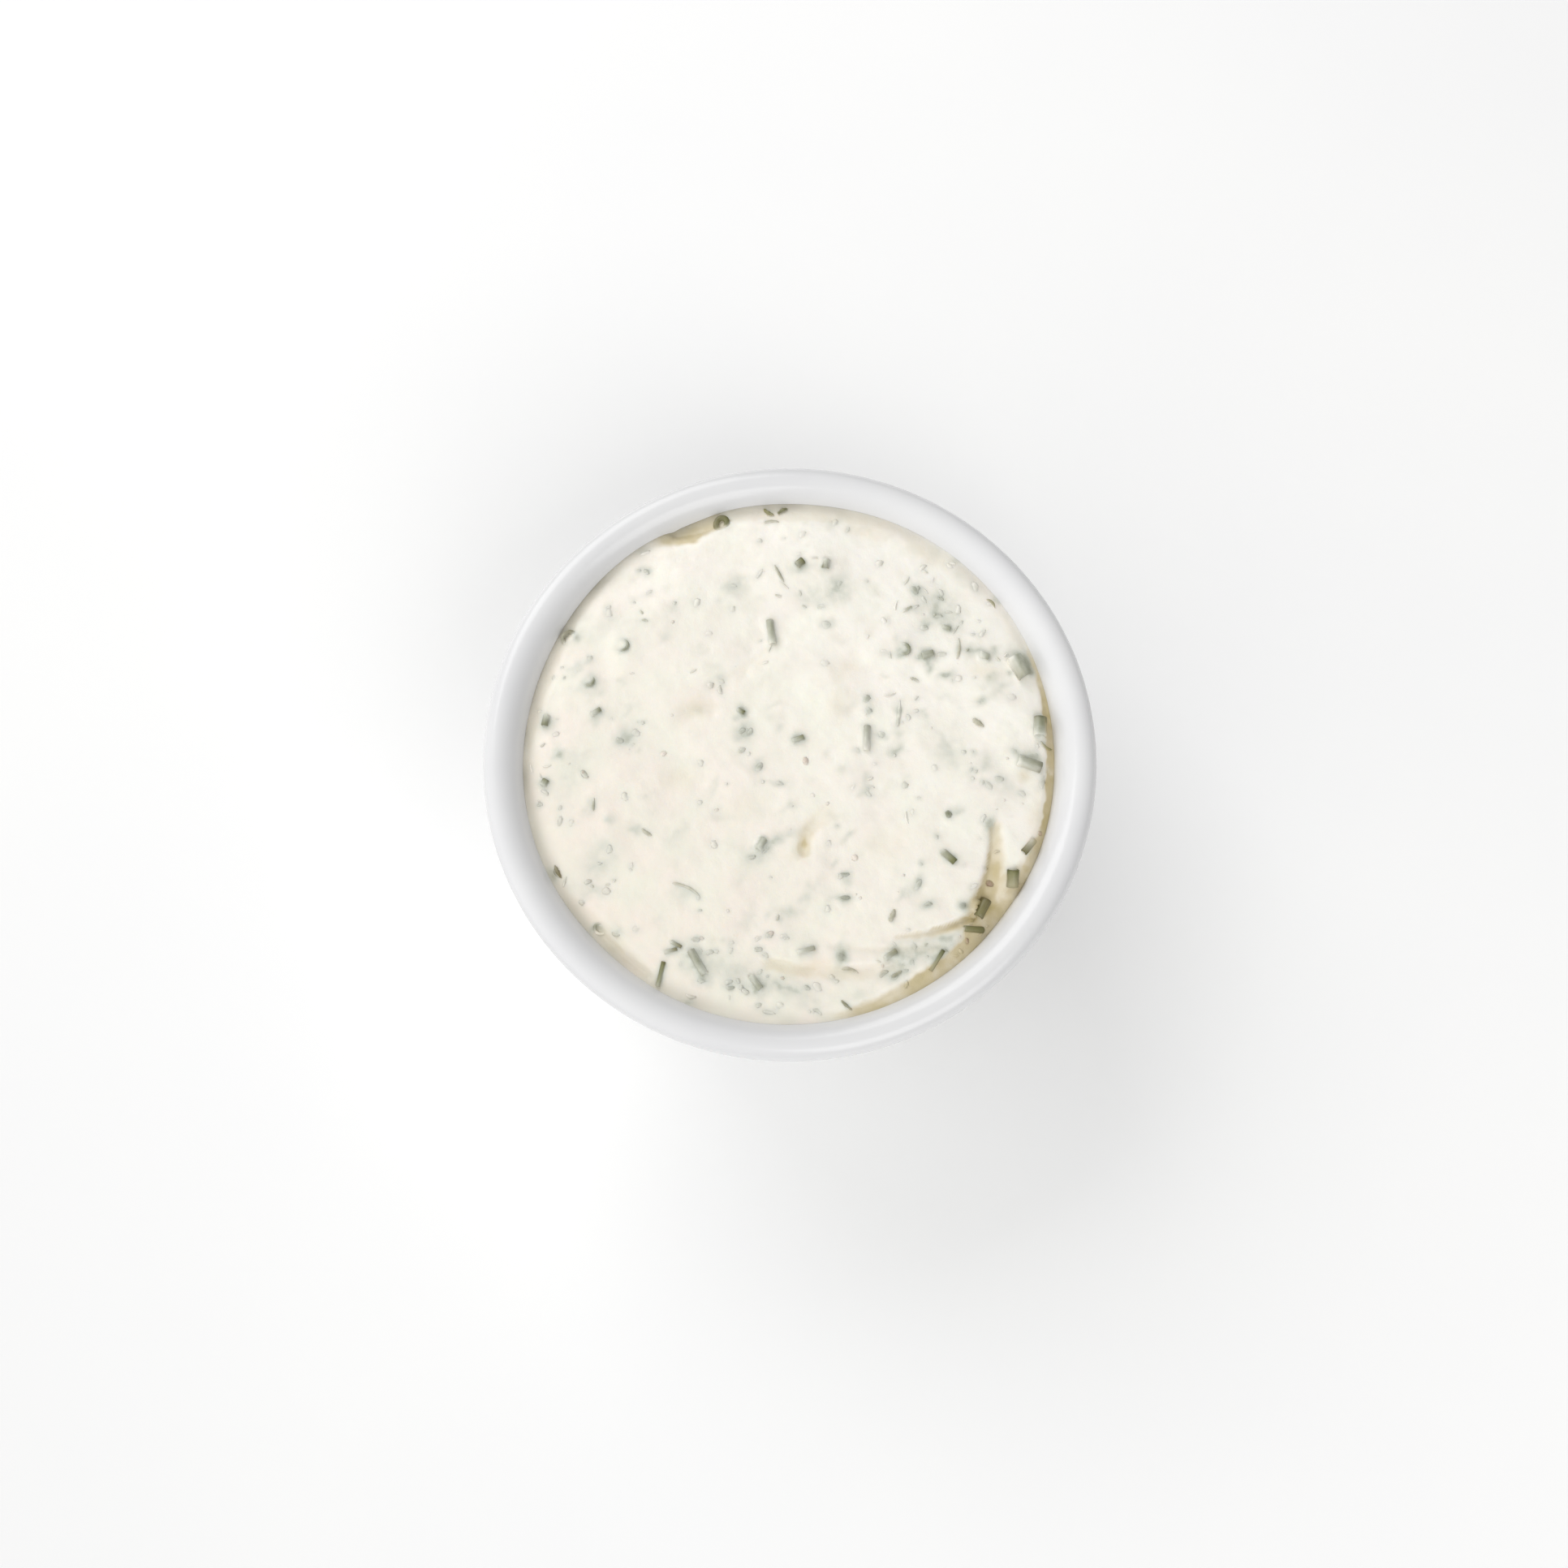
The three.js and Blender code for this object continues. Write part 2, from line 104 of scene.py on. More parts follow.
# The two windows: azimuth, elevation, distance, width, height and power in watts.
WINDOWS = {
    "window_back_left": (122, 38, 700, 520, 500, 2.0),
    "window_front_right": (302, 50, 700, 460, 460, 1.55),
}


# ------------------------------------------------------------------ small tools
FLIPPED = [0, 2, 1]  # a triangle's corners the other way round


def put_mesh(name, points, faces, material, **attributes):
    """A mesh object from points in millimetres, arrays of faces and named values for each point."""
    mesh = bpy.data.meshes.new(name)
    corners = np.concatenate([block.ravel() for block in faces]).astype(np.int32)
    counts = np.concatenate([np.full(len(block), block.shape[1]) for block in faces])
    mesh.vertices.add(len(points))
    mesh.vertices.foreach_set("co", (points * MM).astype(np.float32).ravel())
    mesh.loops.add(len(corners))
    mesh.loops.foreach_set("vertex_index", corners)
    mesh.polygons.add(len(counts))
    mesh.polygons.foreach_set("loop_start", (np.cumsum(counts) - counts).astype(np.int32))
    mesh.polygons.foreach_set("use_smooth", np.ones(len(counts), bool))
    for key, values in attributes.items():
        layer = mesh.attributes.new(key, "FLOAT", "POINT")
        layer.data.foreach_set("value", np.asarray(values, np.float32).ravel())
    mesh.update(calc_edges=True)
    mesh.validate()
    mesh.materials.append(material)
    return put_object(name, mesh)


def put_object(name, data):
    """An object of its own for a mesh, a light or a camera."""
    piece = bpy.data.objects.new(name, data)
    bpy.context.scene.collection.objects.link(piece)
    return piece


def bezier(start, pull_a, pull_b, end, count):
    """Points of a cubic curve: the four corners weighted by (1-t)^3, 3t(1-t)^2, 3t^2(1-t), t^3."""
    t = np.linspace(0, 1, count + 1)[:, None]
    corners = [np.array(corner, float) for corner in (start, pull_a, pull_b, end)]
    weights = [(1 - t) ** 3, 3 * t * (1 - t) ** 2, 3 * t**2 * (1 - t), t**3]
    return sum(weight * corner for weight, corner in zip(weights, corners))


def smooth(t):
    """0 below 0, 1 above 1, and 3t^2 - 2t^3 between."""
    s = np.clip(t, 0, 1)
    return s * s * (3 - 2 * s)


def mix(a, b, t):
    """From a at 0 to b at 1, evenly."""
    return a + (b - a) * t


def polar(radius, turn):
    """x and y for a radius and an angle in radians."""
    return radius * np.cos(turn), radius * np.sin(turn)


def turns(count):
    """The angles of that many points spread evenly round a circle."""
    return 2 * np.pi * np.arange(count) / count


def direction(azimuth, elevation):
    """The unit vector towards an azimuth and an elevation in degrees."""
    turn, lift = math.radians(azimuth), math.radians(elevation)
    return math.cos(lift) * math.cos(turn), math.cos(lift) * math.sin(turn), math.sin(lift)


def randoms(seed):
    """Numbers from 0 to 1 by Lehmer's rule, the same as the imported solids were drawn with."""
    state = seed
    while True:
        state = state * 48271 % 2147483647
        yield state / 2147483647


def strip_faces(rows, sides, first=0):
    """Quads between rows of points that each close on themselves, the first row's point at first."""
    row, side = np.meshgrid(np.arange(rows - 1), np.arange(sides), indexing="ij")
    after = (side + 1) % sides
    corners = [row * sides + side, row * sides + after]
    corners += [corner + sides for corner in reversed(corners)]
    return first + np.stack(corners, -1).reshape(-1, 4)


def fan_faces(tip, loop):
    """Triangles from one point to each side of a closed loop of points."""
    return np.stack([np.full(len(loop), tip), loop, np.roll(loop, -1)], -1)


# ------------------------------------------------------------------ the dish
def dish_profile():
    """Radius and height: straight runs round the foot, then cubic curves up the outside,
    over the lip and down the inside."""
    foot_inside = FOOT_RADIUS - FOOT_WIDTH
    widest = CREST - LIP_DROP
    cut = 0.3 * FOOT_EDGE  # where the points of a rounded edge lie
    foot = np.array([
        (foot_inside - BASE_RING, BASE_RECESS),
        (foot_inside - FOOT_EDGE, BASE_RECESS),
        (foot_inside - 0.4 * FOOT_EDGE, BASE_RECESS - 0.6 * FOOT_EDGE),
        (foot_inside, FOOT_EDGE),
        (foot_inside + cut, cut),
        (foot_inside + FOOT_EDGE, 0),
        (FOOT_RADIUS - FOOT_EDGE, 0),
        (FOOT_RADIUS - cut, cut),
        (FOOT_RADIUS, FOOT_EDGE),
        (FOOT_RADIUS - FOOT_DRAFT, FOOT_HEIGHT - 0.4),
    ])
    neck = (NECK_RADIUS, CREST - NECK_DROP)
    rim = (LIP_RADIUS, widest)
    top = (LIP_CREST_RADIUS, CREST)
    mouth = (MOUTH_RADIUS, CREST - MOUTH_DROP)
    waist = (WAIST_RADIUS, CREST - WAIST_DROP)
    floor = (FLOOR_RADIUS, FLOOR_HEIGHT)
    runs = [
        bezier((FOOT_RADIUS - FOOT_DRAFT, FOOT_HEIGHT), (32.5, 4.6), (39.4, 17), neck, 24),
        bezier(neck, (NECK_RADIUS + 0.5, widest - 3.4), (LIP_RADIUS, widest - 2.6), rim, 12),
        bezier(rim, (LIP_RADIUS, CREST - 0.7), (LIP_RADIUS - 0.9, CREST), top, 12),
        bezier(top, (41.4, CREST), (40.1, CREST - 1.1), mouth, 12),
        bezier(mouth, (38.7, CREST - 4.6), (38.6, CREST - 6), waist, 8),
        bezier(waist, (36, 16), (26, FLOOR_HEIGHT), floor, 20),
    ]
    return np.concatenate([foot, runs[0], *(run[1:] for run in runs[1:])])


PROFILE = dish_profile()
INSIDE = PROFILE[np.argmax(PROFILE[:, 1]):]  # from the lip's crest down to the inner floor


def wall_radius(height):
    """The dish's inner radius at a height, read off its profile."""
    return np.interp(height, INSIDE[::-1, 1], INSIDE[::-1, 0])


def make_dish(material):
    """The profile turned round the Z axis, closed by a point in the middle of each end."""
    x, y = polar(PROFILE[:, :1], turns(DISH_SIDES))
    rings = np.stack([x, y, np.repeat(PROFILE[:, 1:], DISH_SIDES, 1)], -1)
    points = np.concatenate([rings.reshape(-1, 3), [(0, 0, BASE_RECESS), (0, 0, FLOOR_HEIGHT)]])
    rows = len(PROFILE)
    side = np.arange(DISH_SIDES)
    under = fan_faces(len(points) - 2, side)[:, FLIPPED]
    floor = fan_faces(len(points) - 1, (rows - 1) * DISH_SIDES + side)
    return put_mesh("dish_glazed", points, [strip_faces(rows, DISH_SIDES), under, floor], material)


# ------------------------------------------------------------------ the sauce's relief
# Where the sauce draws back from the wall: azimuth of the middle, half the angle it spans, how deep it
# drops at the wall, how far in it reaches and how tan it shows, the tan partly painted shade in the
# hollow.
EDGE_HOLLOWS = [
    (-37.5, 11, 1.1, 5.8, 0.65),
    (-44, 30, 0.8, 2.6, 0.75),
    (-2, 22, 1.0, 1.7, 0.8),
    (113, 7, 0.5, 3.4, 0.75),
    (88, 20, 0.4, 3.0, 0.12),
    (226, 15, 0.6, 3.0, 0.1),
    (160, 22, 0.4, 2.2, 0.12),
]

# Furrows left by the spoon: a curve through three points, then at its start and its end the width on the
# left, the width on the right, the depth and how tan it shows, the tan partly painted shade in the
# furrow.
FURROWS = [
    ((29.6, -11.2, 29.2, -17.0, 27.6, -21.2), (1.1, 3.2), (0.5, 0.6), (0.4, 1.2), (0.5, 0.95)),
    ((26.2, -23.8, 22.4, -26.4, 15.5, -27.2), (1.1, 0.5), (0.4, 0.3), (1.2, 0.1), (0.9, 0.2)),
    ((21.0, -28.4, 14.0, -29.4, 6.0, -28.6), (0.8, 0.5), (0.6, 0.5), (0.3, 0.15), (0.12, 0.05)),
    ((14.8, -31.2, 7.0, -33.0, -2.7, -30.9), (1.6, 1.2), (0.7, 0.6), (0.5, 0.3), (0.1, 0.3)),
    ((2.0, -14.6, 1.9, -11.6, 5.2, -9.2), (0.9, 1.4), (0.9, 1.4), (0.45, 0.1), (0.5, 0.1)),
    ((-15.0, 6.4, -13.8, 7.2, -12.0, 7.2), (1.5, 1.5), (1.6, 1.6), (0.25, 0.2), (0.1, 0.1)),
    ((7.4, 12.9, 8.6, 13.8, 9.5, 14.6), (1.5, 1.5), (1.6, 1.6), (0.25, 0.2), (0.06, 0.06)),
    ((-11.2, 10.4, -5.2, 13.2, -2.2, 17.4), (0.8, 0.7), (1.2, 1.1), (0.16, 0.1), (0.05, 0.05)),
    ((-17.2, 34.4, -14.5, 34.2, -9.6, 36.2), (0.9, 0.9), (0.6, 0.6), (0.5, 0.2), (0.7, 0.45)),
    ((-27.6, -26, -24.4, -29.6, -20.2, -32.6), (0.7, 0.6), (0.7, 0.6), (0.4, 0.3), (0.25, 0.2)),
]
FURROW_STEPS = 16

SWELLS = 90
SWELL_REACH = (2.2, 5.5)
SWELL_HEIGHT = 0.34
SWELL_SEED = 2027


def furrow_shape(furrow, x, y):
    """How far a point is inside a furrow, from 0 to 1, and how far along it. The first is
    exp(-(distance / width)^2), where the distance is to the nearest point of the furrow's curve and
    the width is another on the left than on the right."""
    corners, left, right, _, _ = furrow
    ax, ay, bx, by, cx, cy = corners
    t = np.linspace(0, 1, FURROW_STEPS + 1)
    weights = (1 - t) ** 2, 2 * t * (1 - t), t**2
    px = weights[0] * ax + weights[1] * bx + weights[2] * cx
    py = weights[0] * ay + weights[1] * by + weights[2] * cy
    nearest = np.full(x.shape, np.inf)
    along = np.zeros(x.shape)
    on_left = np.zeros(x.shape, bool)
    for step in range(FURROW_STEPS):
        dx, dy = px[step + 1] - px[step], py[step + 1] - py[step]
        share = np.clip(((x - px[step]) * dx + (y - py[step]) * dy) / (dx * dx + dy * dy), 0, 1)
        ox, oy = x - px[step] - share * dx, y - py[step] - share * dy
        distance = np.hypot(ox, oy)
        closer = distance < nearest
        nearest = np.where(closer, distance, nearest)
        along = np.where(closer, (step + share) / FURROW_STEPS, along)
        on_left = np.where(closer, dx * oy - dy * ox > 0, on_left)
    width = np.where(on_left, mix(*left, along), mix(*right, along))
    return np.exp(-((nearest / width) ** 2)), along


def swell_list():
    """Soft swells by random draw: a place spread evenly over the disc, a reach and a height that is
    as often a dip."""
    draw = randoms(SWELL_SEED)
    swells = []
    for _ in range(SWELLS):
        radius = MOUTH_RADIUS * math.sqrt(next(draw))
        azimuth = 2 * math.pi * next(draw)
        reach = mix(*SWELL_REACH, next(draw))
        height = SWELL_HEIGHT * (2 * next(draw) - 1)
        swells.append((*polar(radius, azimuth), reach, height))
    return swells


SWELL_LIST = swell_list()


def hollow_share(hollow, x, y):
    """How far a point is inside an edge hollow, from 0 to 1: a bell over the azimuth, times a smooth
    step from the wall inwards that reaches further in the middle of the bell."""
    at, span, _, reach, _ = hollow
    turn = (np.degrees(np.arctan2(y, x)) - at + 180) % 360 - 180
    from_wall = np.maximum(0, MOUTH_RADIUS - np.hypot(x, y))
    share = np.exp(-((turn / span) ** 2))
    return share * smooth(1.25 - from_wall / (reach * (0.4 + 0.6 * share)))


def round_bell(x, y, at_x, at_y, reach):
    """exp(-(distance / reach)^2) round a place."""
    return np.exp(-((x - at_x) ** 2 + (y - at_y) ** 2) / reach**2)


def sauce_height(x, y):
    """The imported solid's relief: a flat crown that rounds over towards the wall, less the hollows at
    the edge and the furrows, plus soft swells that die out at the wall."""
    radius = np.hypot(x, y)
    outward = np.minimum(1, radius / MOUTH_RADIUS)
    height = SAUCE_EDGE_HEIGHT + SAUCE_CROWN * (1 - outward**SAUCE_SHOULDER)
    height = height - SAUCE_EDGE_RISE * np.cos(2 * np.arctan2(y, x)) * outward**4
    for hollow in EDGE_HOLLOWS:
        height = height - hollow[2] * hollow_share(hollow, x, y)
    for furrow in FURROWS:
        share, along = furrow_shape(furrow, x, y)
        height = height - mix(*furrow[3], along) * share
    calm = smooth((MOUTH_RADIUS - radius) / 4)
    for at_x, at_y, reach, swell in SWELL_LIST:
        height = height + calm * swell * round_bell(x, y, at_x, at_y, reach)
    return height


LATTICE = 256


def lattice_noise(x, y, cell, seed):
    """Values from -1 to 1: random numbers on a square lattice, joined by smooth steps. The cell is
    the lattice's spacing, and the lattice repeats after LATTICE cells."""
    table = np.random.default_rng(seed).uniform(-1, 1, (LATTICE, LATTICE))
    column, row = np.floor(x / cell).astype(int), np.floor(y / cell).astype(int)
    across, up = smooth(x / cell - column), smooth(y / cell - row)
    corner = [[table[(column + i) % LATTICE, (row + j) % LATTICE] for i in (0, 1)] for j in (0, 1)]
    return mix(mix(*corner[0], across), mix(*corner[1], across), up)


# ------------------------------------------------------------------ the herb pieces
# Cut chives: x, y, azimuth of the length, length, diameter and how far the sauce films them over.
# The end that the azimuth points to stands out the most.
CHIVES = np.array([
    (27.8, -22.6, 62, 2.9, 1.8, 0.05),
    (32.5, -18.4, 88, 2.4, 1.8, 0.2),
    (35.6, -14.0, 230, 2.6, 1.1, 0.3),
    (26.5, -25.8, 2, 2.9, 1.0, 0.1),
    (21.1, -30.5, 57, 3.5, 0.7, 0.25),
    (23.0, -15.5, -42, 2.4, 1.0, 0.35),
    (35.1, -1.4, -18, 3.6, 1.8, 0.65),
    (35.2, 13.9, -60, 3.6, 2.4, 0.7),
    (37.2, 4.4, 88, 2.9, 1.9, 0.6),
    (11.3, 2.3, 88, 3.8, 1.1, 0.85),
    (-2.8, 18.8, 98, 3.8, 1.1, 0.8),
    (-13.2, -30.9, 121, 4.1, 1.2, 0.88),
    (-18.5, -32.5, 76, 3.6, 0.7, 0.2),
    (-16.3, -28.3, -28, 1.7, 0.6, 0.4),
    (-17.1, -29.2, 15, 1.9, 0.6, 0.45),
    (-4.2, -13.6, 62, 1.9, 1.0, 0.9),
    (2.3, -29.2, 17, 2.6, 0.8, 0.75),
    (-4.9, -33.8, -52, 2.4, 1.0, 0.9),
    (20.4, 15.2, 15, 1.8, 1.1, 0.8),
    (28.8, 15.1, -20, 1.4, 1.1, 0.85),
    (-28.6, 6.4, 32, 1.7, 0.8, 0.65),
    (-36.0, 5.3, 260, 1.7, 1.1, 0.6),
    (1.5, 29.5, 40, 1.3, 1.2, 0.3),
    (5.4, 29.3, 260, 1.5, 1.1, 0.7),
    (14.4, -29.8, 35, 2.1, 0.8, 0.75),
    (1.2, 2.2, 20, 1.8, 0.8, 0.65),
    (23.3, 19.5, -20, 1.2, 0.7, 0.8),
    (-35.9, -4.2, 60, 1.1, 1.1, 0.6),
    (-7.2, 6.5, -30, 1.2, 0.8, 0.6),
])

# Chive rings that lie on their cut face: x, y, diameter, wall, film and the azimuth of the side
# that stands out. The other side dips under the sauce.
CHIVE_RINGS = np.array([
    (-10.3, 36.1, 2.7, 0.95, 0.05, 60),
    (-25.0, 16.7, 2.3, 0.45, 0.45, -20),
    (-27.9, -26.3, 2.1, 0.5, 0.35, 90),
    (-32.9, 18.2, 2.5, 0.6, 0.4, 120),
    (-29.6, 11.2, 1.7, 0.45, 0.55, -45),
    (16.8, 16.1, 2.2, 0.5, 0.4, -10),
])
RING_HEIGHT = 1.3
RING_LEAN = 0.35  # how far the side that stands out is lifted, and the other sunk

# Dill needles: x, y, azimuth of the length, length, thickness and film.
NEEDLES = np.array([
    (24.9, 16.2, 84, 3.3, 0.45, 0.5),
    (-1.6, 27.9, -62, 3.0, 0.45, 0.45),
    (-15.0, -20.3, -26, 4.3, 0.45, 0.6),
    (8.6, -32.1, -12, 2.4, 0.5, 0.55),
    (8.1, -37.0, -40, 2.0, 0.5, 0.3),
    (-2.8, 36.2, 4, 2.3, 0.45, 0.55),
    (14.7, -24.1, 68, 1.9, 0.8, 0.5),
    (27.7, 4.8, -35, 1.9, 0.8, 0.5),
    (18.4, 11.3, -22, 1.4, 0.5, 0.6),
    (-34.5, -17.9, -62, 2.1, 0.6, 0.1),
    (30.9, 24.2, -48, 1.8, 0.5, 0.2),
    (38.0, 1.7, -25, 2.0, 0.5, 0.25),
    (17.5, 22.4, 30, 1.6, 0.5, 0.6),
    (-20.8, -11.8, -35, 1.7, 0.6, 0.6),
    (16.0, 6.2, 84, 4.1, 0.6, 0.95),
    (15.3, -32.5, 30, 1.7, 0.5, 0.5),
    (-3.2, 38.5, -35, 1.8, 0.7, 0.1),
    (-1.1, 38.4, 33, 1.7, 0.7, 0.1),
])

# Larger crumbs of leaf: x, y, width and film.
CRUMBS = np.array([
    (23.1, -9.2, 1.1, 0.1),
    (28.9, -10.6, 1.1, 0.55),
    (21.2, -12.5, 0.9, 0.55),
    (19.0, -16.4, 0.9, 0.5),
    (25.0, -22.6, 0.9, 0.6),
    (30.6, -3.7, 1.1, 0.55),
    (18.6, 25.3, 1.1, 0.4),
    (11.3, 8.4, 1.1, 0.35),
    (-11.5, -27.8, 0.9, 0.9),
    (0.2, -7.8, 1.0, 0.6),
    (7.4, -30.3, 1.2, 0.45),
    (8.0, -19.5, 0.9, 0.9),
    (-33.8, 0.1, 1.1, 0.85),
    (-26.5, -9.8, 1.0, 0.75),
    (-29.6, 14.8, 1.1, 0.6),
    (7.4, -2.5, 1.0, 0.7),
])

# Small bits of leaf: x, y, azimuth of the length, length, width and film.
FLECKS = np.array([
    (-31.5, 18.0, 20, 0.9, 0.7, 0.62),
    (-35.0, 12.0, 60, 0.7, 0.5, 0.75),
    (-36.5, -7.5, 0, 0.9, 0.7, 0.55),
    (-33.5, -10.0, 80, 1.6, 0.8, 0.75),
    (-33.5, -8.0, 60, 0.8, 0.6, 0.75),
    (-26.5, -10.0, -30, 1.0, 0.7, 0.75),
    (-30.0, -3.0, -50, 1.6, 0.8, 0.6),
    (-25.0, 2.0, 0, 1.3, 1.1, 0.7),
    (-23.0, 1.5, 0, 0.9, 0.8, 0.8),
    (-7.0, 0.5, 30, 1.2, 0.8, 0.6),
    (-7.0, 3.5, 40, 1.2, 0.8, 0.7),
    (-6.0, 3.0, 0, 0.6, 0.5, 0.75),
    (-4.5, -2.0, 60, 1.7, 1.1, 0.75),
    (32.5, 12.5, 20, 0.8, 0.7, 0.55),
    (23.0, 12.0, 30, 1.6, 0.7, 0.7),
    (10.0, 0.5, -40, 1.0, 0.7, 0.6),
    (16.0, 3.0, 0, 0.8, 0.7, 0.65),
    (13.5, 3.0, 0, 1.2, 1.1, 0.75),
    (12.5, -1.5, 0, 0.9, 0.7, 0.8),
    (11.5, -6.0, -50, 1.3, 0.6, 0.7),
    (28.5, -2.0, 40, 0.8, 0.6, 0.75),
    (28.0, 8.0, 0, 1.3, 0.8, 0.75),
    (33.0, 0.5, -50, 1.3, 0.6, 0.6),
    (25.0, -22.5, -40, 1.0, 0.8, 0.65),
    (8.0, -18.0, 0, 1.3, 0.6, 0.45),
    (8.0, -21.5, -5, 1.5, 0.6, 0.4),
    (20.0, -22.5, 5, 1.2, 0.6, 0.55),
    (18.5, -19.5, 60, 2.1, 0.9, 0.7),
    (-13.5, -27.5, 0, 1.4, 0.7, 0.5),
    (-4.5, -29.0, -10, 1.2, 0.8, 0.5),
    (-3.0, -27.0, 0, 1.1, 0.9, 0.6),
    (-3.5, -30.0, -40, 1.0, 0.7, 0.6),
    (7.5, -30.0, -10, 1.7, 1.0, 0.5),
    (-0.5, -27.5, 0, 1.0, 0.5, 0.8),
    (-8.5, -34.5, 0, 1.3, 0.7, 0.5),
    (-7.0, -34.5, 60, 0.8, 0.6, 0.7),
    (-4.5, -37.0, 20, 1.0, 0.7, 0.55),
    (2.5, -34.5, -30, 1.0, 0.7, 0.6),
    (6.0, -33.0, -30, 0.9, 0.8, 0.7),
    (4.0, -38.0, -35, 1.4, 0.7, 0.6),
    (13.5, -32.5, 35, 1.6, 0.7, 0.55),
    (15.0, -33.0, 35, 1.3, 0.7, 0.55),
    (16.5, -32.0, 10, 1.1, 0.6, 0.5),
    (-3.0, -38.0, -10, 2.1, 0.6, 0.6),
    (-21.5, 28.5, -40, 1.1, 0.7, 0.72),
    (-21.0, 25.0, 40, 1.3, 0.8, 0.72),
    (-4.5, 33.0, 0, 0.9, 0.8, 0.72),
    (-4.5, 28.0, 55, 1.9, 0.6, 0.77),
    (-8.5, 26.0, 0, 1.3, 0.9, 0.92),
    (19.0, 25.5, 70, 1.3, 0.8, 0.52),
    (18.5, 22.5, 35, 1.9, 0.7, 0.77),
    (20.0, 24.0, -60, 1.4, 0.6, 0.82),
    (21.5, 27.0, 80, 1.4, 0.7, 0.87),
    (22.5, 25.0, -70, 1.3, 0.7, 0.92),
    (20.0, 29.0, 40, 1.4, 0.6, 0.82),
    (22.0, 21.5, -10, 1.6, 0.7, 0.87),
    (20.0, 19.5, 0, 1.3, 0.9, 0.87),
    (23.5, 19.5, -25, 1.5, 0.7, 0.57),
    (25.0, 22.5, 80, 1.6, 0.9, 0.95),
    (14.0, 20.5, -60, 1.3, 0.8, 0.95),
    (7.5, 26.5, 75, 2.1, 0.9, 0.87),
    (5.5, 20.0, -10, 1.6, 1.3, 0.82),
    (1.5, 31.0, 0, 1.3, 0.7, 0.92),
    (25.0, 30.5, -10, 1.1, 0.5, 0.67),
    (-14.5, -36.5, -15, 1.7, 0.6, 0.4),
    (-34.5, -18.0, -60, 1.6, 0.7, 0.2),
    (-22.0, 32.0, 20, 1.7, 0.5, 0.57),
    (-25.0, -26.5, -20, 1.4, 0.7, 0.6),
    (-15.5, -31.0, 60, 1.3, 0.8, 0.65),
    (-11.5, -29.5, 20, 1.3, 0.8, 0.7),
    (-8.5, -28.0, 80, 1.2, 0.9, 0.75),
    (-3.5, -14.5, 40, 1.5, 0.5, 0.7),
    (-5.5, -15.5, 20, 1.2, 0.6, 0.75),
    (37.0, -4.0, 78, 2.4, 1.0, 0.6),
    (-1.5, -4.5, -15, 1.3, 0.6, 0.75),
    (-26.5, -20.5, 0, 1.4, 1.3, 0.85),
    (-12.0, 18.5, 0, 1.2, 0.9, 0.95),
])

# Brown specks of spice and skin: x, y, width and film.
BROWN_SPECKS = np.array([
    (29.0, -19.0, 1.1, 0.0),
    (25.5, -27.5, 0.7, 0.1),
    (36.5, -11.5, 0.7, 0.1),
    (21.4, -12.4, 0.5, 0.2),
    (16.4, -18.2, 0.5, 0.2),
    (-30.2, -2.8, 0.6, 0.3),
    (33.9, -7.4, 0.4, 0.4),
    (-12.6, -27.4, 0.6, 0.2),
    (-2.8, -26.8, 0.8, 0.4),
    (11.2, 6.0, 0.4, 0.4),
    (2.3, -1.1, 0.9, 0.55),
    (9.4, -15.6, 1.0, 0.75),
    (3.3, -6.3, 0.7, 0.7),
    (-10.7, -8.5, 0.6, 0.6),
    (-18.5, 0.1, 0.8, 0.7),
    (-17.4, 20.3, 0.4, 0.5),
])

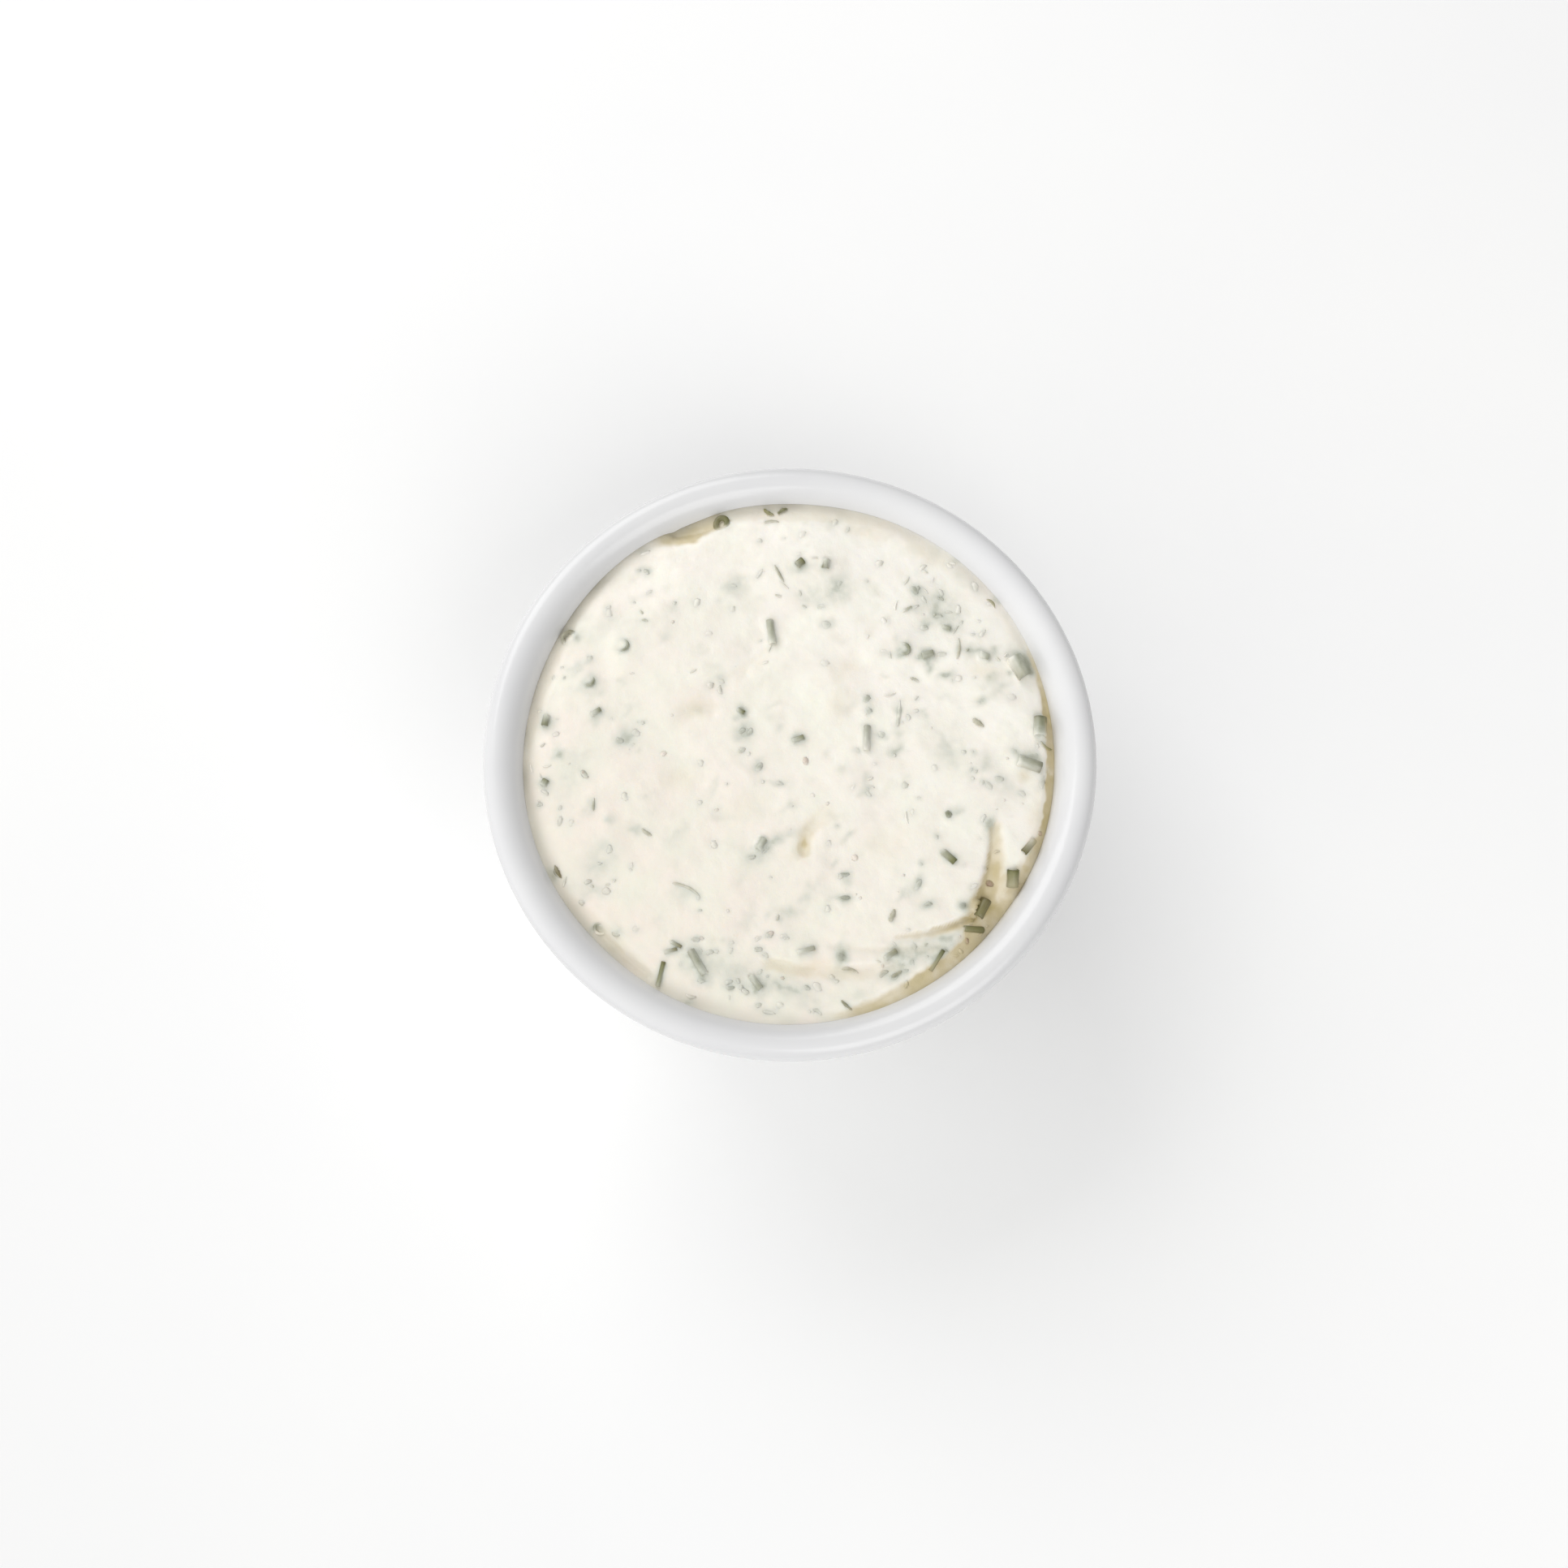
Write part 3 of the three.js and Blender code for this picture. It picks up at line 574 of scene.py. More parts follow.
# Herb that lies wholly under the surface and shows as a pale grey-green patch: x, y, azimuth of the
# length, length, width and how dense it is.
SUNK = np.array([
    (-31.5, 13.5, 45, 3.3, 1.5, 0.45),
    (-25.0, 11.0, 0, 1.7, 1.4, 0.3),
    (-23.5, 7.0, 45, 2.4, 1.0, 0.35),
    (-24.0, 2.5, 70, 4.3, 3.1, 0.45),
    (-34.0, 0.0, 60, 2.1, 1.8, 0.5),
    (-29.0, -8.0, 60, 3.6, 2.1, 0.35),
    (-22.5, -11.5, 0, 2.1, 1.7, 0.4),
    (-7.0, 3.0, 0, 3.1, 2.4, 0.5),
    (-4.5, -2.0, 60, 2.9, 1.7, 0.4),
    (-2.0, -4.5, -10, 3.6, 1.0, 0.3),
    (-11.0, -4.5, 80, 2.4, 1.4, 0.3),
    (-18.5, 18.0, 60, 2.4, 1.8, 0.35),
    (-10.5, 11.5, 0, 2.1, 1.1, 0.3),
    (5.5, 20.0, 0, 2.1, 1.7, 0.4),
    (20.0, 20.0, 0, 2.1, 1.4, 0.35),
    (27.0, 16.0, 0, 3.1, 1.9, 0.55),
    (30.5, 16.0, 40, 1.7, 1.2, 0.5),
    (23.0, 12.0, 30, 2.4, 1.1, 0.45),
    (16.0, 6.0, 80, 4.1, 1.0, 0.5),
    (13.5, 3.0, 0, 1.4, 1.3, 0.45),
    (15.5, 0.5, 20, 2.4, 1.9, 0.5),
    (20.0, 6.5, 80, 1.4, 1.0, 0.35),
    (14.0, 12.0, 0, 1.4, 1.1, 0.25),
    (28.0, 8.0, 30, 2.1, 1.2, 0.4),
    (11.0, -4.5, 80, 3.1, 1.1, 0.35),
    (24.0, -8.5, 30, 2.4, 1.4, 0.45),
    (6.5, -16.5, 40, 2.1, 1.1, 0.35),
    (8.5, -12.5, 40, 4.1, 1.1, 0.35),
    (18.5, -19.5, 60, 2.9, 1.3, 0.45),
    (-15.5, -21.0, 5, 3.6, 2.6, 0.35),
    (21.5, 23.0, -50, 7.2, 5.2, 0.4),
    (7.0, 25.5, 70, 4.8, 4.1, 0.5),
    (3.0, 24.5, 0, 4.8, 3.6, 0.3),
    (-8.0, 26.0, 0, 4.1, 3.1, 0.4),
    (-21.5, 28.5, -60, 2.9, 1.9, 0.35),
    (-17.5, 22.5, 20, 2.6, 2.1, 0.3),
    (37.0, 4.5, 80, 4.1, 2.4, 0.65),
    (35.0, 0.0, -12, 4.1, 2.1, 0.6),
    (34.5, 14.5, -60, 4.3, 3.1, 0.7),
    (30.0, 11.5, 40, 3.6, 1.9, 0.4),
    (31.0, 10.0, 40, 4.8, 1.7, 0.3),
    (-0.5, -34.5, -8, 7.2, 2.4, 0.5),
    (7.5, -29.5, 80, 4.1, 1.7, 0.6),
    (-13.0, -31.5, -58, 6.0, 3.1, 0.55),
    (-8.5, -32.0, 0, 5.5, 4.1, 0.35),
    (-5.0, -34.5, -60, 3.6, 2.1, 0.5),
    (15.5, -32.0, 30, 5.5, 2.4, 0.5),
    (18.0, -30.0, -10, 6.0, 2.9, 0.35),
    (21.5, -29.0, 50, 4.1, 2.6, 0.4),
    (14.5, -30.0, 30, 2.9, 1.7, 0.4),
    (7.5, -21.5, 0, 3.1, 1.4, 0.5),
    (0.0, -23.5, 0, 3.6, 1.7, 0.35),
    (3.0, -36.5, 0, 6.0, 2.4, 0.25),
    (10.0, -35.5, 10, 2.9, 1.7, 0.25),
    (-28.5, -20.5, 0, 3.6, 1.7, 0.3),
    (-27.5, -16.0, 60, 7.2, 4.8, 0.3),
    (-32.5, -3.5, 80, 9.5, 3.6, 0.2),
    (-28.0, 20.0, 20, 9.5, 4.8, 0.2),
    (23.0, 0.5, 60, 7.2, 4.8, 0.2),
    (28.0, -1.5, 30, 4.8, 3.6, 0.3),
    (-4.0, -14.5, 40, 5.5, 2.9, 0.45),
    (-1.0, -12.5, 20, 6.0, 1.7, 0.35),
    (-11.0, -9.5, 0, 2.4, 1.4, 0.2),
    (20.0, 15.0, 0, 2.4, 1.7, 0.6),
    (16.5, 16.0, 60, 2.4, 1.7, 0.4),
    (20.5, 13.5, -80, 2.6, 1.4, 0.5),
    (11.5, 6.5, 70, 2.4, 1.2, 0.4),
    (1.0, 2.5, 15, 2.9, 1.9, 0.35),
    (-2.5, 18.0, -80, 3.6, 1.2, 0.5),
    (-7.0, 6.5, -60, 2.1, 1.7, 0.45),
    (-28.5, 5.5, 30, 2.9, 1.7, 0.45),
    (-29.5, 10.5, 0, 3.6, 2.9, 0.4),
    (-36.0, 5.0, 0, 2.9, 2.4, 0.4),
    (-36.0, -4.5, 0, 2.1, 1.9, 0.4),
    (29.0, -11.0, 80, 3.6, 1.9, 0.45),
    (16.5, -21.0, 60, 2.4, 1.4, 0.45),
    (26.5, -22.0, 30, 2.4, 1.4, 0.35),
    (23.0, -15.5, -35, 2.9, 1.7, 0.35),
    (8.0, -18.5, 60, 2.9, 1.9, 0.3),
    (32.5, -18.5, 80, 3.1, 2.6, 0.5),
    (20.0, -22.5, 0, 2.9, 1.4, 0.4),
    (25.5, -22.5, 10, 2.9, 1.7, 0.45),
    (31.5, -5.5, 60, 7.2, 3.6, 0.2),
    (24.0, 21.5, -30, 7.2, 6.0, 0.2),
    (29.5, 29.0, -50, 3.6, 2.4, 0.2),
    (1.5, 29.0, 0, 3.6, 1.9, 0.4),
    (5.0, 29.0, 70, 3.1, 1.7, 0.4),
    # The row below is painted shade on a sloping part of the sauce, not herb lying under it.
    (23.0, -27.9, 20, 8.0, 4.4, 0.32),
    (17.0, -29.0, 5, 9.0, 3.2, 0.2),
])

# Flat patches of tan, partly thinner sauce and partly painted shade, in the same terms.
TANNED = np.array([
    (34.3, -3.1, 80, 1.9, 1.6, 0.35),
    (2.1, -13.4, 85, 3.6, 1.5, 0.7),
    (0.8, -15.2, 20, 3.2, 1.8, 0.2),
    (-14.0, 6.9, 5, 4.6, 3.4, 0.24),
    (8.6, 13.2, 60, 4.4, 3.6, 0.14),
    (7.2, 7.4, 80, 4.6, 3.2, 0.12),
    (-16.4, -3.6, 10, 5.6, 3.6, 0.12),
    (2.8, -31.8, 5, 7.2, 2.2, 0.28),
    (28.6, 12.8, -10, 3.6, 2.4, 0.16),
    (14.5, -13.5, 20, 6.8, 4.2, 0.1),
    (-6.5, -8.0, 30, 6.4, 3.8, 0.1),
    (20.5, 31.2, -35, 7.8, 2.6, 0.16),
    (12.0, 34.6, -15, 7.0, 2.4, 0.16),
    (36.4, -9.8, 80, 8.0, 3.4, 0.16),
])

SUNK_SHARE = 1.3  # what the densities of the sunken herb are multiplied by
SUNK_MOST = 0.9

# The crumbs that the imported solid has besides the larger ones, by random draw.
PACKED_CRUMBS = 24
PACKED_CRUMB_SEED = 4711
PACKED_CRUMB_SPACING = 4.2
PACKED_CRUMB_SIZE = (0.9, 1.4)
PACKED_CRUMB_FILM = 0.86
CRUMB_STRETCH = (0.8, 1.5)  # a packed crumb's length for its width

# Still smaller bits and soft spots, by random draw.
CRUMB_SIZE = (0.35, 0.95)
FAINT_PATCHES = 90
FAINT_SEED = 81
SCATTER_RADIUS = MOUTH_RADIUS - 1.2
NEAR_SHARE = 0.66  # of the scattered bits, how many lie near a sunken patch
NEAR_SPREAD = 0.45  # how far from its middle they spread, in shares of its length
SCATTER_CRUMBS = 130
SCATTER_CRUMB_SEEDS = (61, 62)  # of the shapes and of the places
SCATTER_NEEDLES = 45
SCATTER_NEEDLE_SEEDS = (51, 52)
SPECKS = 30
SPECK_SEEDS = (71, 72)
CHIVE_SEED = 41
RING_SEED = 43
NEEDLE_SEED = 54
CRUMB_SEED = 65

CHIVE_WALL = 0.3  # at most
CHIVE_CUT = 0.08  # the rounding of its cut edge
CHIVE_HOLLOW = 0.35  # how deep its open ends are, at most
BEAD_SIDES = 8
FILM_HEIGHT = 0.3  # the sauce films a piece more under this height above its surface


def scatter_places(seed, count):
    """Places for small herb: some near a sunken patch, by a bell round its middle, and the rest
    spread evenly over the disc, by the root of a random share of its radius."""
    rng = np.random.default_rng(seed)
    radius = SCATTER_RADIUS * np.sqrt(rng.uniform(0, 1, count))
    places = np.stack(polar(radius, rng.uniform(0, 2 * np.pi, count)), -1)
    weight = SUNK[:, 3] * SUNK[:, 4] * SUNK[:, 5]
    patch = SUNK[rng.choice(len(SUNK), count, p=weight / weight.sum())]
    near = patch[:, :2] + rng.normal(0, NEAR_SPREAD, (count, 2)) * patch[:, 3:4]
    places = np.where(rng.uniform(0, 1, (count, 1)) < NEAR_SHARE, near, places)
    return places * np.minimum(1, SCATTER_RADIUS / np.hypot(*places.T))[:, None]


def faint_patches():
    """Rows like those of SUNK: small soft spots spread evenly over the disc."""
    rng = np.random.default_rng(FAINT_SEED)
    radius = (MOUTH_RADIUS - 1) * np.sqrt(rng.uniform(0, 1, FAINT_PATCHES))
    azimuth = rng.uniform(0, 2 * np.pi, FAINT_PATCHES)
    width = rng.uniform(0.7, 2.0, FAINT_PATCHES)
    return np.stack([
        *polar(radius, azimuth),
        rng.uniform(0, 180, FAINT_PATCHES),
        width * rng.uniform(1, 3, FAINT_PATCHES),
        width,
        rng.uniform(0.06, 0.22, FAINT_PATCHES),
    ], -1)


def scattered_crumbs():
    """Rows like those of FLECKS, mostly small and well covered."""
    shape_seed, place_seed = SCATTER_CRUMB_SEEDS
    rng = np.random.default_rng(shape_seed)
    widths = mix(*CRUMB_SIZE, rng.uniform(0, 1, SCATTER_CRUMBS) ** 2)
    return np.stack([
        *scatter_places(place_seed, SCATTER_CRUMBS).T,
        rng.uniform(0, 180, SCATTER_CRUMBS),
        widths * rng.uniform(0.9, 2.2, SCATTER_CRUMBS),
        widths,
        rng.uniform(0.6, 0.95, SCATTER_CRUMBS),
    ], -1)


def scattered_needles():
    """Rows like those of NEEDLES, short and well covered."""
    shape_seed, place_seed = SCATTER_NEEDLE_SEEDS
    rng = np.random.default_rng(shape_seed)
    return np.stack([
        *scatter_places(place_seed, SCATTER_NEEDLES).T,
        rng.uniform(0, 180, SCATTER_NEEDLES),
        0.6 + 1.3 * rng.uniform(0, 1, SCATTER_NEEDLES) ** 2,
        rng.uniform(0.22, 0.42, SCATTER_NEEDLES),
        rng.uniform(0.5, 0.95, SCATTER_NEEDLES),
    ], -1)


def packed_crumbs():
    """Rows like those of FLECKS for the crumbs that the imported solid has, drawn in its order: first
    the larger ones, then more between them, each clear of every other piece by its spacing."""
    draw = randoms(PACKED_CRUMB_SEED)

    def crumb(x, y, width, film):
        length = width * mix(*CRUMB_STRETCH, next(draw))
        return x, y, 360 * next(draw), length, width, film

    taken = np.concatenate([CHIVES[:, :2], CHIVE_RINGS[:, :2], NEEDLES[:, :2], CRUMBS[:, :2]]).tolist()
    rows = [crumb(*row) for row in CRUMBS.tolist()]
    while len(rows) < len(CRUMBS) + PACKED_CRUMBS:
        radius = (MOUTH_RADIUS - 2) * math.sqrt(next(draw))
        azimuth = 2 * math.pi * next(draw)
        x, y = polar(radius, azimuth)
        if min(math.hypot(x - at_x, y - at_y) for at_x, at_y in taken) < PACKED_CRUMB_SPACING:
            continue
        taken.append((x, y))
        rows.append(crumb(x, y, mix(*PACKED_CRUMB_SIZE, next(draw)), PACKED_CRUMB_FILM))
    return np.array(rows)


ALL_SUNK = np.concatenate([SUNK, faint_patches()])
ALL_CRUMBS = np.concatenate([packed_crumbs(), FLECKS, scattered_crumbs()])
ALL_NEEDLES = np.concatenate([NEEDLES, scattered_needles()])


def torn(x, y, *layers):
    """The place moved by noise, so that a border read there is ragged. Each layer has how far it
    moves, the noise's cell and the seeds for x and for y."""
    torn_x, torn_y = x, y
    for reach, cell, seed_x, seed_y in layers:
        torn_x = torn_x + reach * lattice_noise(x, y, cell, seed_x)
        torn_y = torn_y + reach * lattice_noise(x, y, cell, seed_y)
    return torn_x, torn_y


def long_bell(x, y, at_x, at_y, azimuth, half_length, half_width, power=2):
    """exp(-(along / half_length)^power - (across / half_width)^2) round a place, where along and
    across are the distances along an azimuth and across it. Gives the bell and the first of them."""
    turn = math.radians(azimuth)
    dx, dy = x - at_x, y - at_y
    along = dx * math.cos(turn) + dy * math.sin(turn)
    across = dy * math.cos(turn) - dx * math.sin(turn)
    return np.exp(-((along / half_length) ** power) - (across / half_width) ** 2), along


def mounds(x, y):
    """The skin of sauce drawn up round each large piece: a bell about as wide as the piece is."""
    rise = np.zeros(x.shape)
    for *place, length, diameter, film in CHIVES:
        bell, _ = long_bell(x, y, *place, 0.62 * length, 0.75 * diameter, power=4)
        rise += (0.12 + 0.22 * film) * diameter * bell
    for at_x, at_y, diameter, _, film, _ in CHIVE_RINGS:
        rise += (0.15 + 0.2 * film) * round_bell(x, y, at_x, at_y, diameter)
    for at_x, at_y, width, film in CRUMBS:
        rise += (0.08 + 0.1 * film) * round_bell(x, y, at_x, at_y, width)
    return rise


def surface_height(x, y):
    """The sauce as it shows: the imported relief, fine ripples and the skin round the pieces."""
    calm = smooth((MOUTH_RADIUS - np.hypot(x, y)) / 2)
    fine = 0.10 * lattice_noise(x, y, 3.1, 11) + 0.045 * lattice_noise(x + 0.4 * y, y, 1.5, 12)
    fine += 0.02 * lattice_noise(x, y, 0.8, 13)
    return sauce_height(x, y) + calm * (fine + mounds(x, y))


def veil_density(x, y):
    """How much herb shows through the sauce, from 0 to 1. Each sunken patch is a long bell, its
    border torn by noise. Each piece at the surface has one too, a little larger than it and the
    denser the less of it is covered. What they all leave clear is multiplied."""
    clear = np.ones(x.shape)
    ragged = torn(x, y, (0.45, 1.1, 21, 22))
    for *place, length, width, density in ALL_SUNK:
        bell, _ = long_bell(*ragged, *place, 0.5 * length, 0.5 * width)
        clear *= 1 - min(SUNK_MOST, SUNK_SHARE * density) * bell
    patches = 0.9 + 0.3 * lattice_noise(x, y, 1.7, 23) + 0.25 * lattice_noise(x, y, 0.7, 24)
    clear = 1 - np.clip((1 - clear) * np.clip(patches, 0.15, 1.4), 0, 1)
    near = torn(x, y, (0.14, 0.7, 35, 36))
    for *place, length, diameter, film in CHIVES:
        bell, along = long_bell(*near, *place, 0.5 * length + 0.3, 0.5 * diameter + 0.35, power=4)
        slant = 1 + 0.6 * film * np.clip(along / length, -0.5, 0.5)
        clear *= 1 - (0.75 - 0.2 * film) * slant * bell
    for at_x, at_y, diameter, wall, _, outward in CHIVE_RINGS:
        dx, dy = near[0] - at_x, near[1] - at_y
        across = np.hypot(dx, dy) - (diameter - wall) / 2
        facing = np.cos(np.arctan2(dy, dx) - math.radians(outward))
        clear *= 1 - (0.45 + 0.3 * facing) * np.exp(-((across / (wall / 2 + 0.3)) ** 2))
    for *place, length, width, film in ALL_CRUMBS:
        bell, _ = long_bell(*near, *place, 0.5 * length + 0.2, 0.5 * width + 0.2)
        clear *= 1 - np.clip(1.08 - film, 0, 0.85) * bell
    for *place, length, width, film in ALL_NEEDLES:
        bell, _ = long_bell(*near, *place, 0.5 * length + 0.1, 0.5 * width + 0.2, power=4)
        clear *= 1 - np.clip(0.9 - film, 0.1, 0.55) * bell
    return np.clip(1 - clear, 0, 1)


def tan_and_recess_shade(x, y):
    """How much tan shows, partly thin oily sauce and partly painted shade in the recesses: in the
    hollows at the edge, in the furrows and in a few flat patches, the most that any of them gives."""
    ragged = torn(x, y, (0.22, 1.3, 27, 28), (0.1, 0.6, 29, 30))
    tan = np.zeros(x.shape)
    for hollow in EDGE_HOLLOWS:
        share = smooth((hollow_share(hollow, *ragged) - 0.12) / 0.3)
        tan = np.maximum(tan, hollow[-1] * share)
    for furrow in FURROWS:
        share, along = furrow_shape(furrow, *ragged)
        tan = np.maximum(tan, mix(*furrow[-1], along) * smooth(share * 1.5 - 0.1))
    for *place, length, width, density in TANNED:
        patch, _ = long_bell(*ragged, *place, 0.5 * length, 0.5 * width)
        tan = np.maximum(tan, density * patch)
    streaks = 0.86 + 0.22 * lattice_noise(x, y, 1.9, 33) + 0.12 * lattice_noise(x, y, 0.8, 34)
    return np.clip(tan * streaks, 0, 1)


def painted_side_light(x, y):
    """How much painted light the cream gets, from 0 to 1: it rises evenly from the front left to the
    back right.
    """
    turn = math.radians(LIT_SIDE)
    return np.clip(0.5 + 0.5 * (x * math.cos(turn) + y * math.sin(turn)) / MOUTH_RADIUS, 0, 1)


def wall_contact_shade(x, y):
    """Painted contact shade where the sauce meets the porcelain: a bell from the wall inwards, that is
    strongest at the back left and nearly gone at the front right."""
    from_wall = np.maximum(0, MOUTH_RADIUS - np.hypot(x, y))
    strength = 0.42 + 0.33 * np.cos(np.arctan2(y, x) - math.radians(150))
    strength = strength * (1 + 0.35 * lattice_noise(x, y, 3.3, 26))
    return np.clip(strength * np.exp(-((from_wall / 1.45) ** 2)), 0, 1)


# ------------------------------------------------------------------ the sauce's mesh
def disc_grid(count):
    """A square grid bent into a disc of radius 1, each square of it keeping its share of the area:
    the larger of the two coordinates is the radius, and their ratio times 45 degrees the turn."""
    side = np.linspace(-1, 1, count + 1)
    a, b = np.meshgrid(side, side, indexing="ij")
    wide = np.abs(a) > np.abs(b)
    safe_a, safe_b = np.where(a == 0, 1, a), np.where(b == 0, 1, b)
    turn = np.where(wide, np.pi / 4 * b / safe_a, np.pi / 2 - np.pi / 4 * a / safe_b)
    radius = np.where(wide, a, b)
    return radius * np.cos(turn), radius * np.sin(turn)


def border_loop(count):
    """The numbers of the grid's border points, in order round it, anticlockwise."""
    last = count
    number = np.arange((count + 1) ** 2).reshape(count + 1, count + 1)
    return np.concatenate([
        number[:last, 0], number[last, :last], number[last:0:-1, last], number[0, last:0:-1],
    ])


def make_sauce(material):
    """The top is the relief over a disc that ends at the wall. Below it the side follows the wall's
    profile down to the floor, where a point closes it."""
    unit_x, unit_y = disc_grid(SAUCE_GRID)
    inner = np.maximum(np.hypot(unit_x, unit_y), 1e-9)  # the middle point's would be 0
    closer = (1 - np.maximum(0, 1 - inner) ** SAUCE_EDGE_CROWDING) / inner
    unit_x, unit_y = unit_x * closer, unit_y * closer
    azimuth = np.arctan2(unit_y, unit_x)
    edge_x, edge_y = polar(MOUTH_RADIUS, azimuth)
    edge = wall_radius(surface_height(edge_x, edge_y)) + SAUCE_INTO_WALL
    x, y = unit_x * edge, unit_y * edge
    share = np.hypot(unit_x, unit_y)
    z = np.where(share > 0.9999, surface_height(edge_x, edge_y), surface_height(x, y))
    top = np.stack([x, y, z], -1).reshape(-1, 3)
    number = np.arange(len(top)).reshape(x.shape)
    squares = np.stack([number[:-1, :-1], number[1:, :-1], number[1:, 1:], number[:-1, 1:]], -1)

    loop = border_loop(SAUCE_GRID)
    rim = top[loop]
    base_height = FLOOR_HEIGHT + SAUCE_BASE_GAP
    depth = mix(rim[None, :, 2], base_height, np.array(SAUCE_LEVELS)[:, None])
    turn = np.arctan2(rim[:, 1], rim[:, 0])[None]
    side = np.stack([*polar(wall_radius(depth) - SAUCE_SIDE_GAP, turn), depth], -1).reshape(-1, 3)
    points = np.concatenate([top, side, [(0, 0, base_height)]])
    first = len(top)
    count = len(loop)
    after = np.roll(loop, -1)
    step = np.arange(count)
    collar = np.stack([after, loop, first + step, first + (step + 1) % count], -1)
    walls = strip_faces(len(depth), count, first)[:, ::-1]
    base = fan_faces(len(points) - 1, first + (len(depth) - 1) * count + step)[:, FLIPPED]
    faces = [squares.reshape(-1, 4), collar, walls, base]
    x, y, _ = points.T
    # Of the values below, edge is painted contact shade, pale is painted light and tan is partly painted
    # recess shade.
    return put_mesh(
        "tartar_sauce_cream", points, faces, material,
        veil=veil_density(x, y), tan=tan_and_recess_shade(x, y), edge=wall_contact_shade(x, y), pale=painted_side_light(x, y),
    )


# ------------------------------------------------------------------ pieces carried along a path
def carried(path, radius, flat=1.0):
    """Rings of points round many paths at once, each closed by its path's two end points:
    point = path + radius * (cos a * across + flat * sin a * up), where across is level and at right
    angles to the path. path is (pieces, rings, 3) and radius (pieces, rings, sides)."""
    pieces, rings, sides = radius.shape
    heading = path[:, -1] - path[:, 0]
    heading = heading / np.linalg.norm(heading, axis=-1, keepdims=True)
    across = np.cross(heading, (0, 0, 1.0))
    across /= np.linalg.norm(across, axis=-1, keepdims=True)
    up = np.cross(across, heading)
    level, high = (part[None, :, None] for part in polar(1.0, turns(sides)))
    around = level * across[:, None] + flat * high * up[:, None]
    body = path[:, :, None] + radius[..., None] * around[:, None]
    points = np.concatenate([body.reshape(pieces, -1, 3), path[:, :1], path[:, -1:]], 1)
    each = rings * sides + 2
    side = np.arange(sides)
    start = fan_faces(each - 2, side)
    end = fan_faces(each - 1, (rings - 1) * sides + side)[:, FLIPPED]
    offset = (each * np.arange(pieces))[:, None, None]
    faces = [block[None] + offset for block in (strip_faces(rings, sides)[:, ::-1], start, end)]
    return points, [block.reshape(-1, block.shape[-1]) for block in faces]


def film_on(points, film, slant=0.0):
    """How far the sauce covers each point: the piece's own share, less towards the end that its
    slant of 1 puts last on the path, and more near the sauce's surface."""
    x, y, z = np.moveaxis(points, -1, 0)
    above = z - surface_height(x, y)
    patch = 0.3 * lattice_noise(x * 1.7, y * 1.7 + z, 0.9, 31)
    first, last = points[:, -2:-1, :2], points[:, -1:, :2]
    heading = last - first
    along = ((points[..., :2] - (first + last) / 2) * heading).sum(-1) / ((heading**2).sum(-1) + 1e-6)
    film = np.reshape(film, (len(points), -1))
    slant = 2.4 * film * (1 - film) * np.reshape(slant, (-1, 1)) * np.clip(along, -0.6, 0.6)
    cover = film * (1 + patch) - slant
    low = smooth(1 - above / FILM_HEIGHT)
    return np.clip(cover + (1 - cover) * 0.8 * low, 0, 1)


def put_herbs(name, points, faces, material, film, tone):
    """A piece with the values that its material reads at each point. points is (pieces, points, 3),
    film has a value for each point, and tone has one for each piece or for each point."""
    x, y, _ = np.moveaxis(points, -1, 0)
    tone = np.broadcast_to(np.reshape(tone, (len(points), -1)), x.shape)
    return put_mesh(
        name, points.reshape(-1, 3), faces, material,
        film=film, tone=tone, veil=veil_density(x, y), tan=tan_and_recess_shade(x, y), pale=painted_side_light(x, y),
    )


def clear_of_wall(x, y, length, thickness):
    """Draws a place in from the wall until a piece of that length and thickness is clear of it."""
    foot = sauce_height(x, y) - thickness / 2
    most = wall_radius(foot) - PIECE_CLEARANCE - np.hypot(length, thickness) / 2
    scale = np.minimum(1, most / np.hypot(x, y))
    return x * scale, y * scale


def laid_path(x, y, azimuth, length, rise, shares, bend=0.0):
    """A path on the sauce: a line with a given azimuth through the place, bowed sideways by
    bend * (1 - (2s - 1)^2), with its ends at the surface plus rise and straight between."""
    ux, uy = polar(1.0, np.radians(azimuth))
    ends = []
    for sign in (-0.5, 0.5):
        ex, ey = x + sign * length * ux, y + sign * length * uy
        ends.append(np.stack([ex, ey, sauce_height(ex, ey) + rise], -1)[:, None])
    shares = np.atleast_2d(shares)
    bow = np.reshape(bend, (-1, 1)) * (1 - (2 * shares - 1) ** 2)
    side = np.stack([-uy, ux, np.zeros_like(ux)], -1)
    return mix(*ends, shares[..., None]) + bow[..., None] * side[:, None]


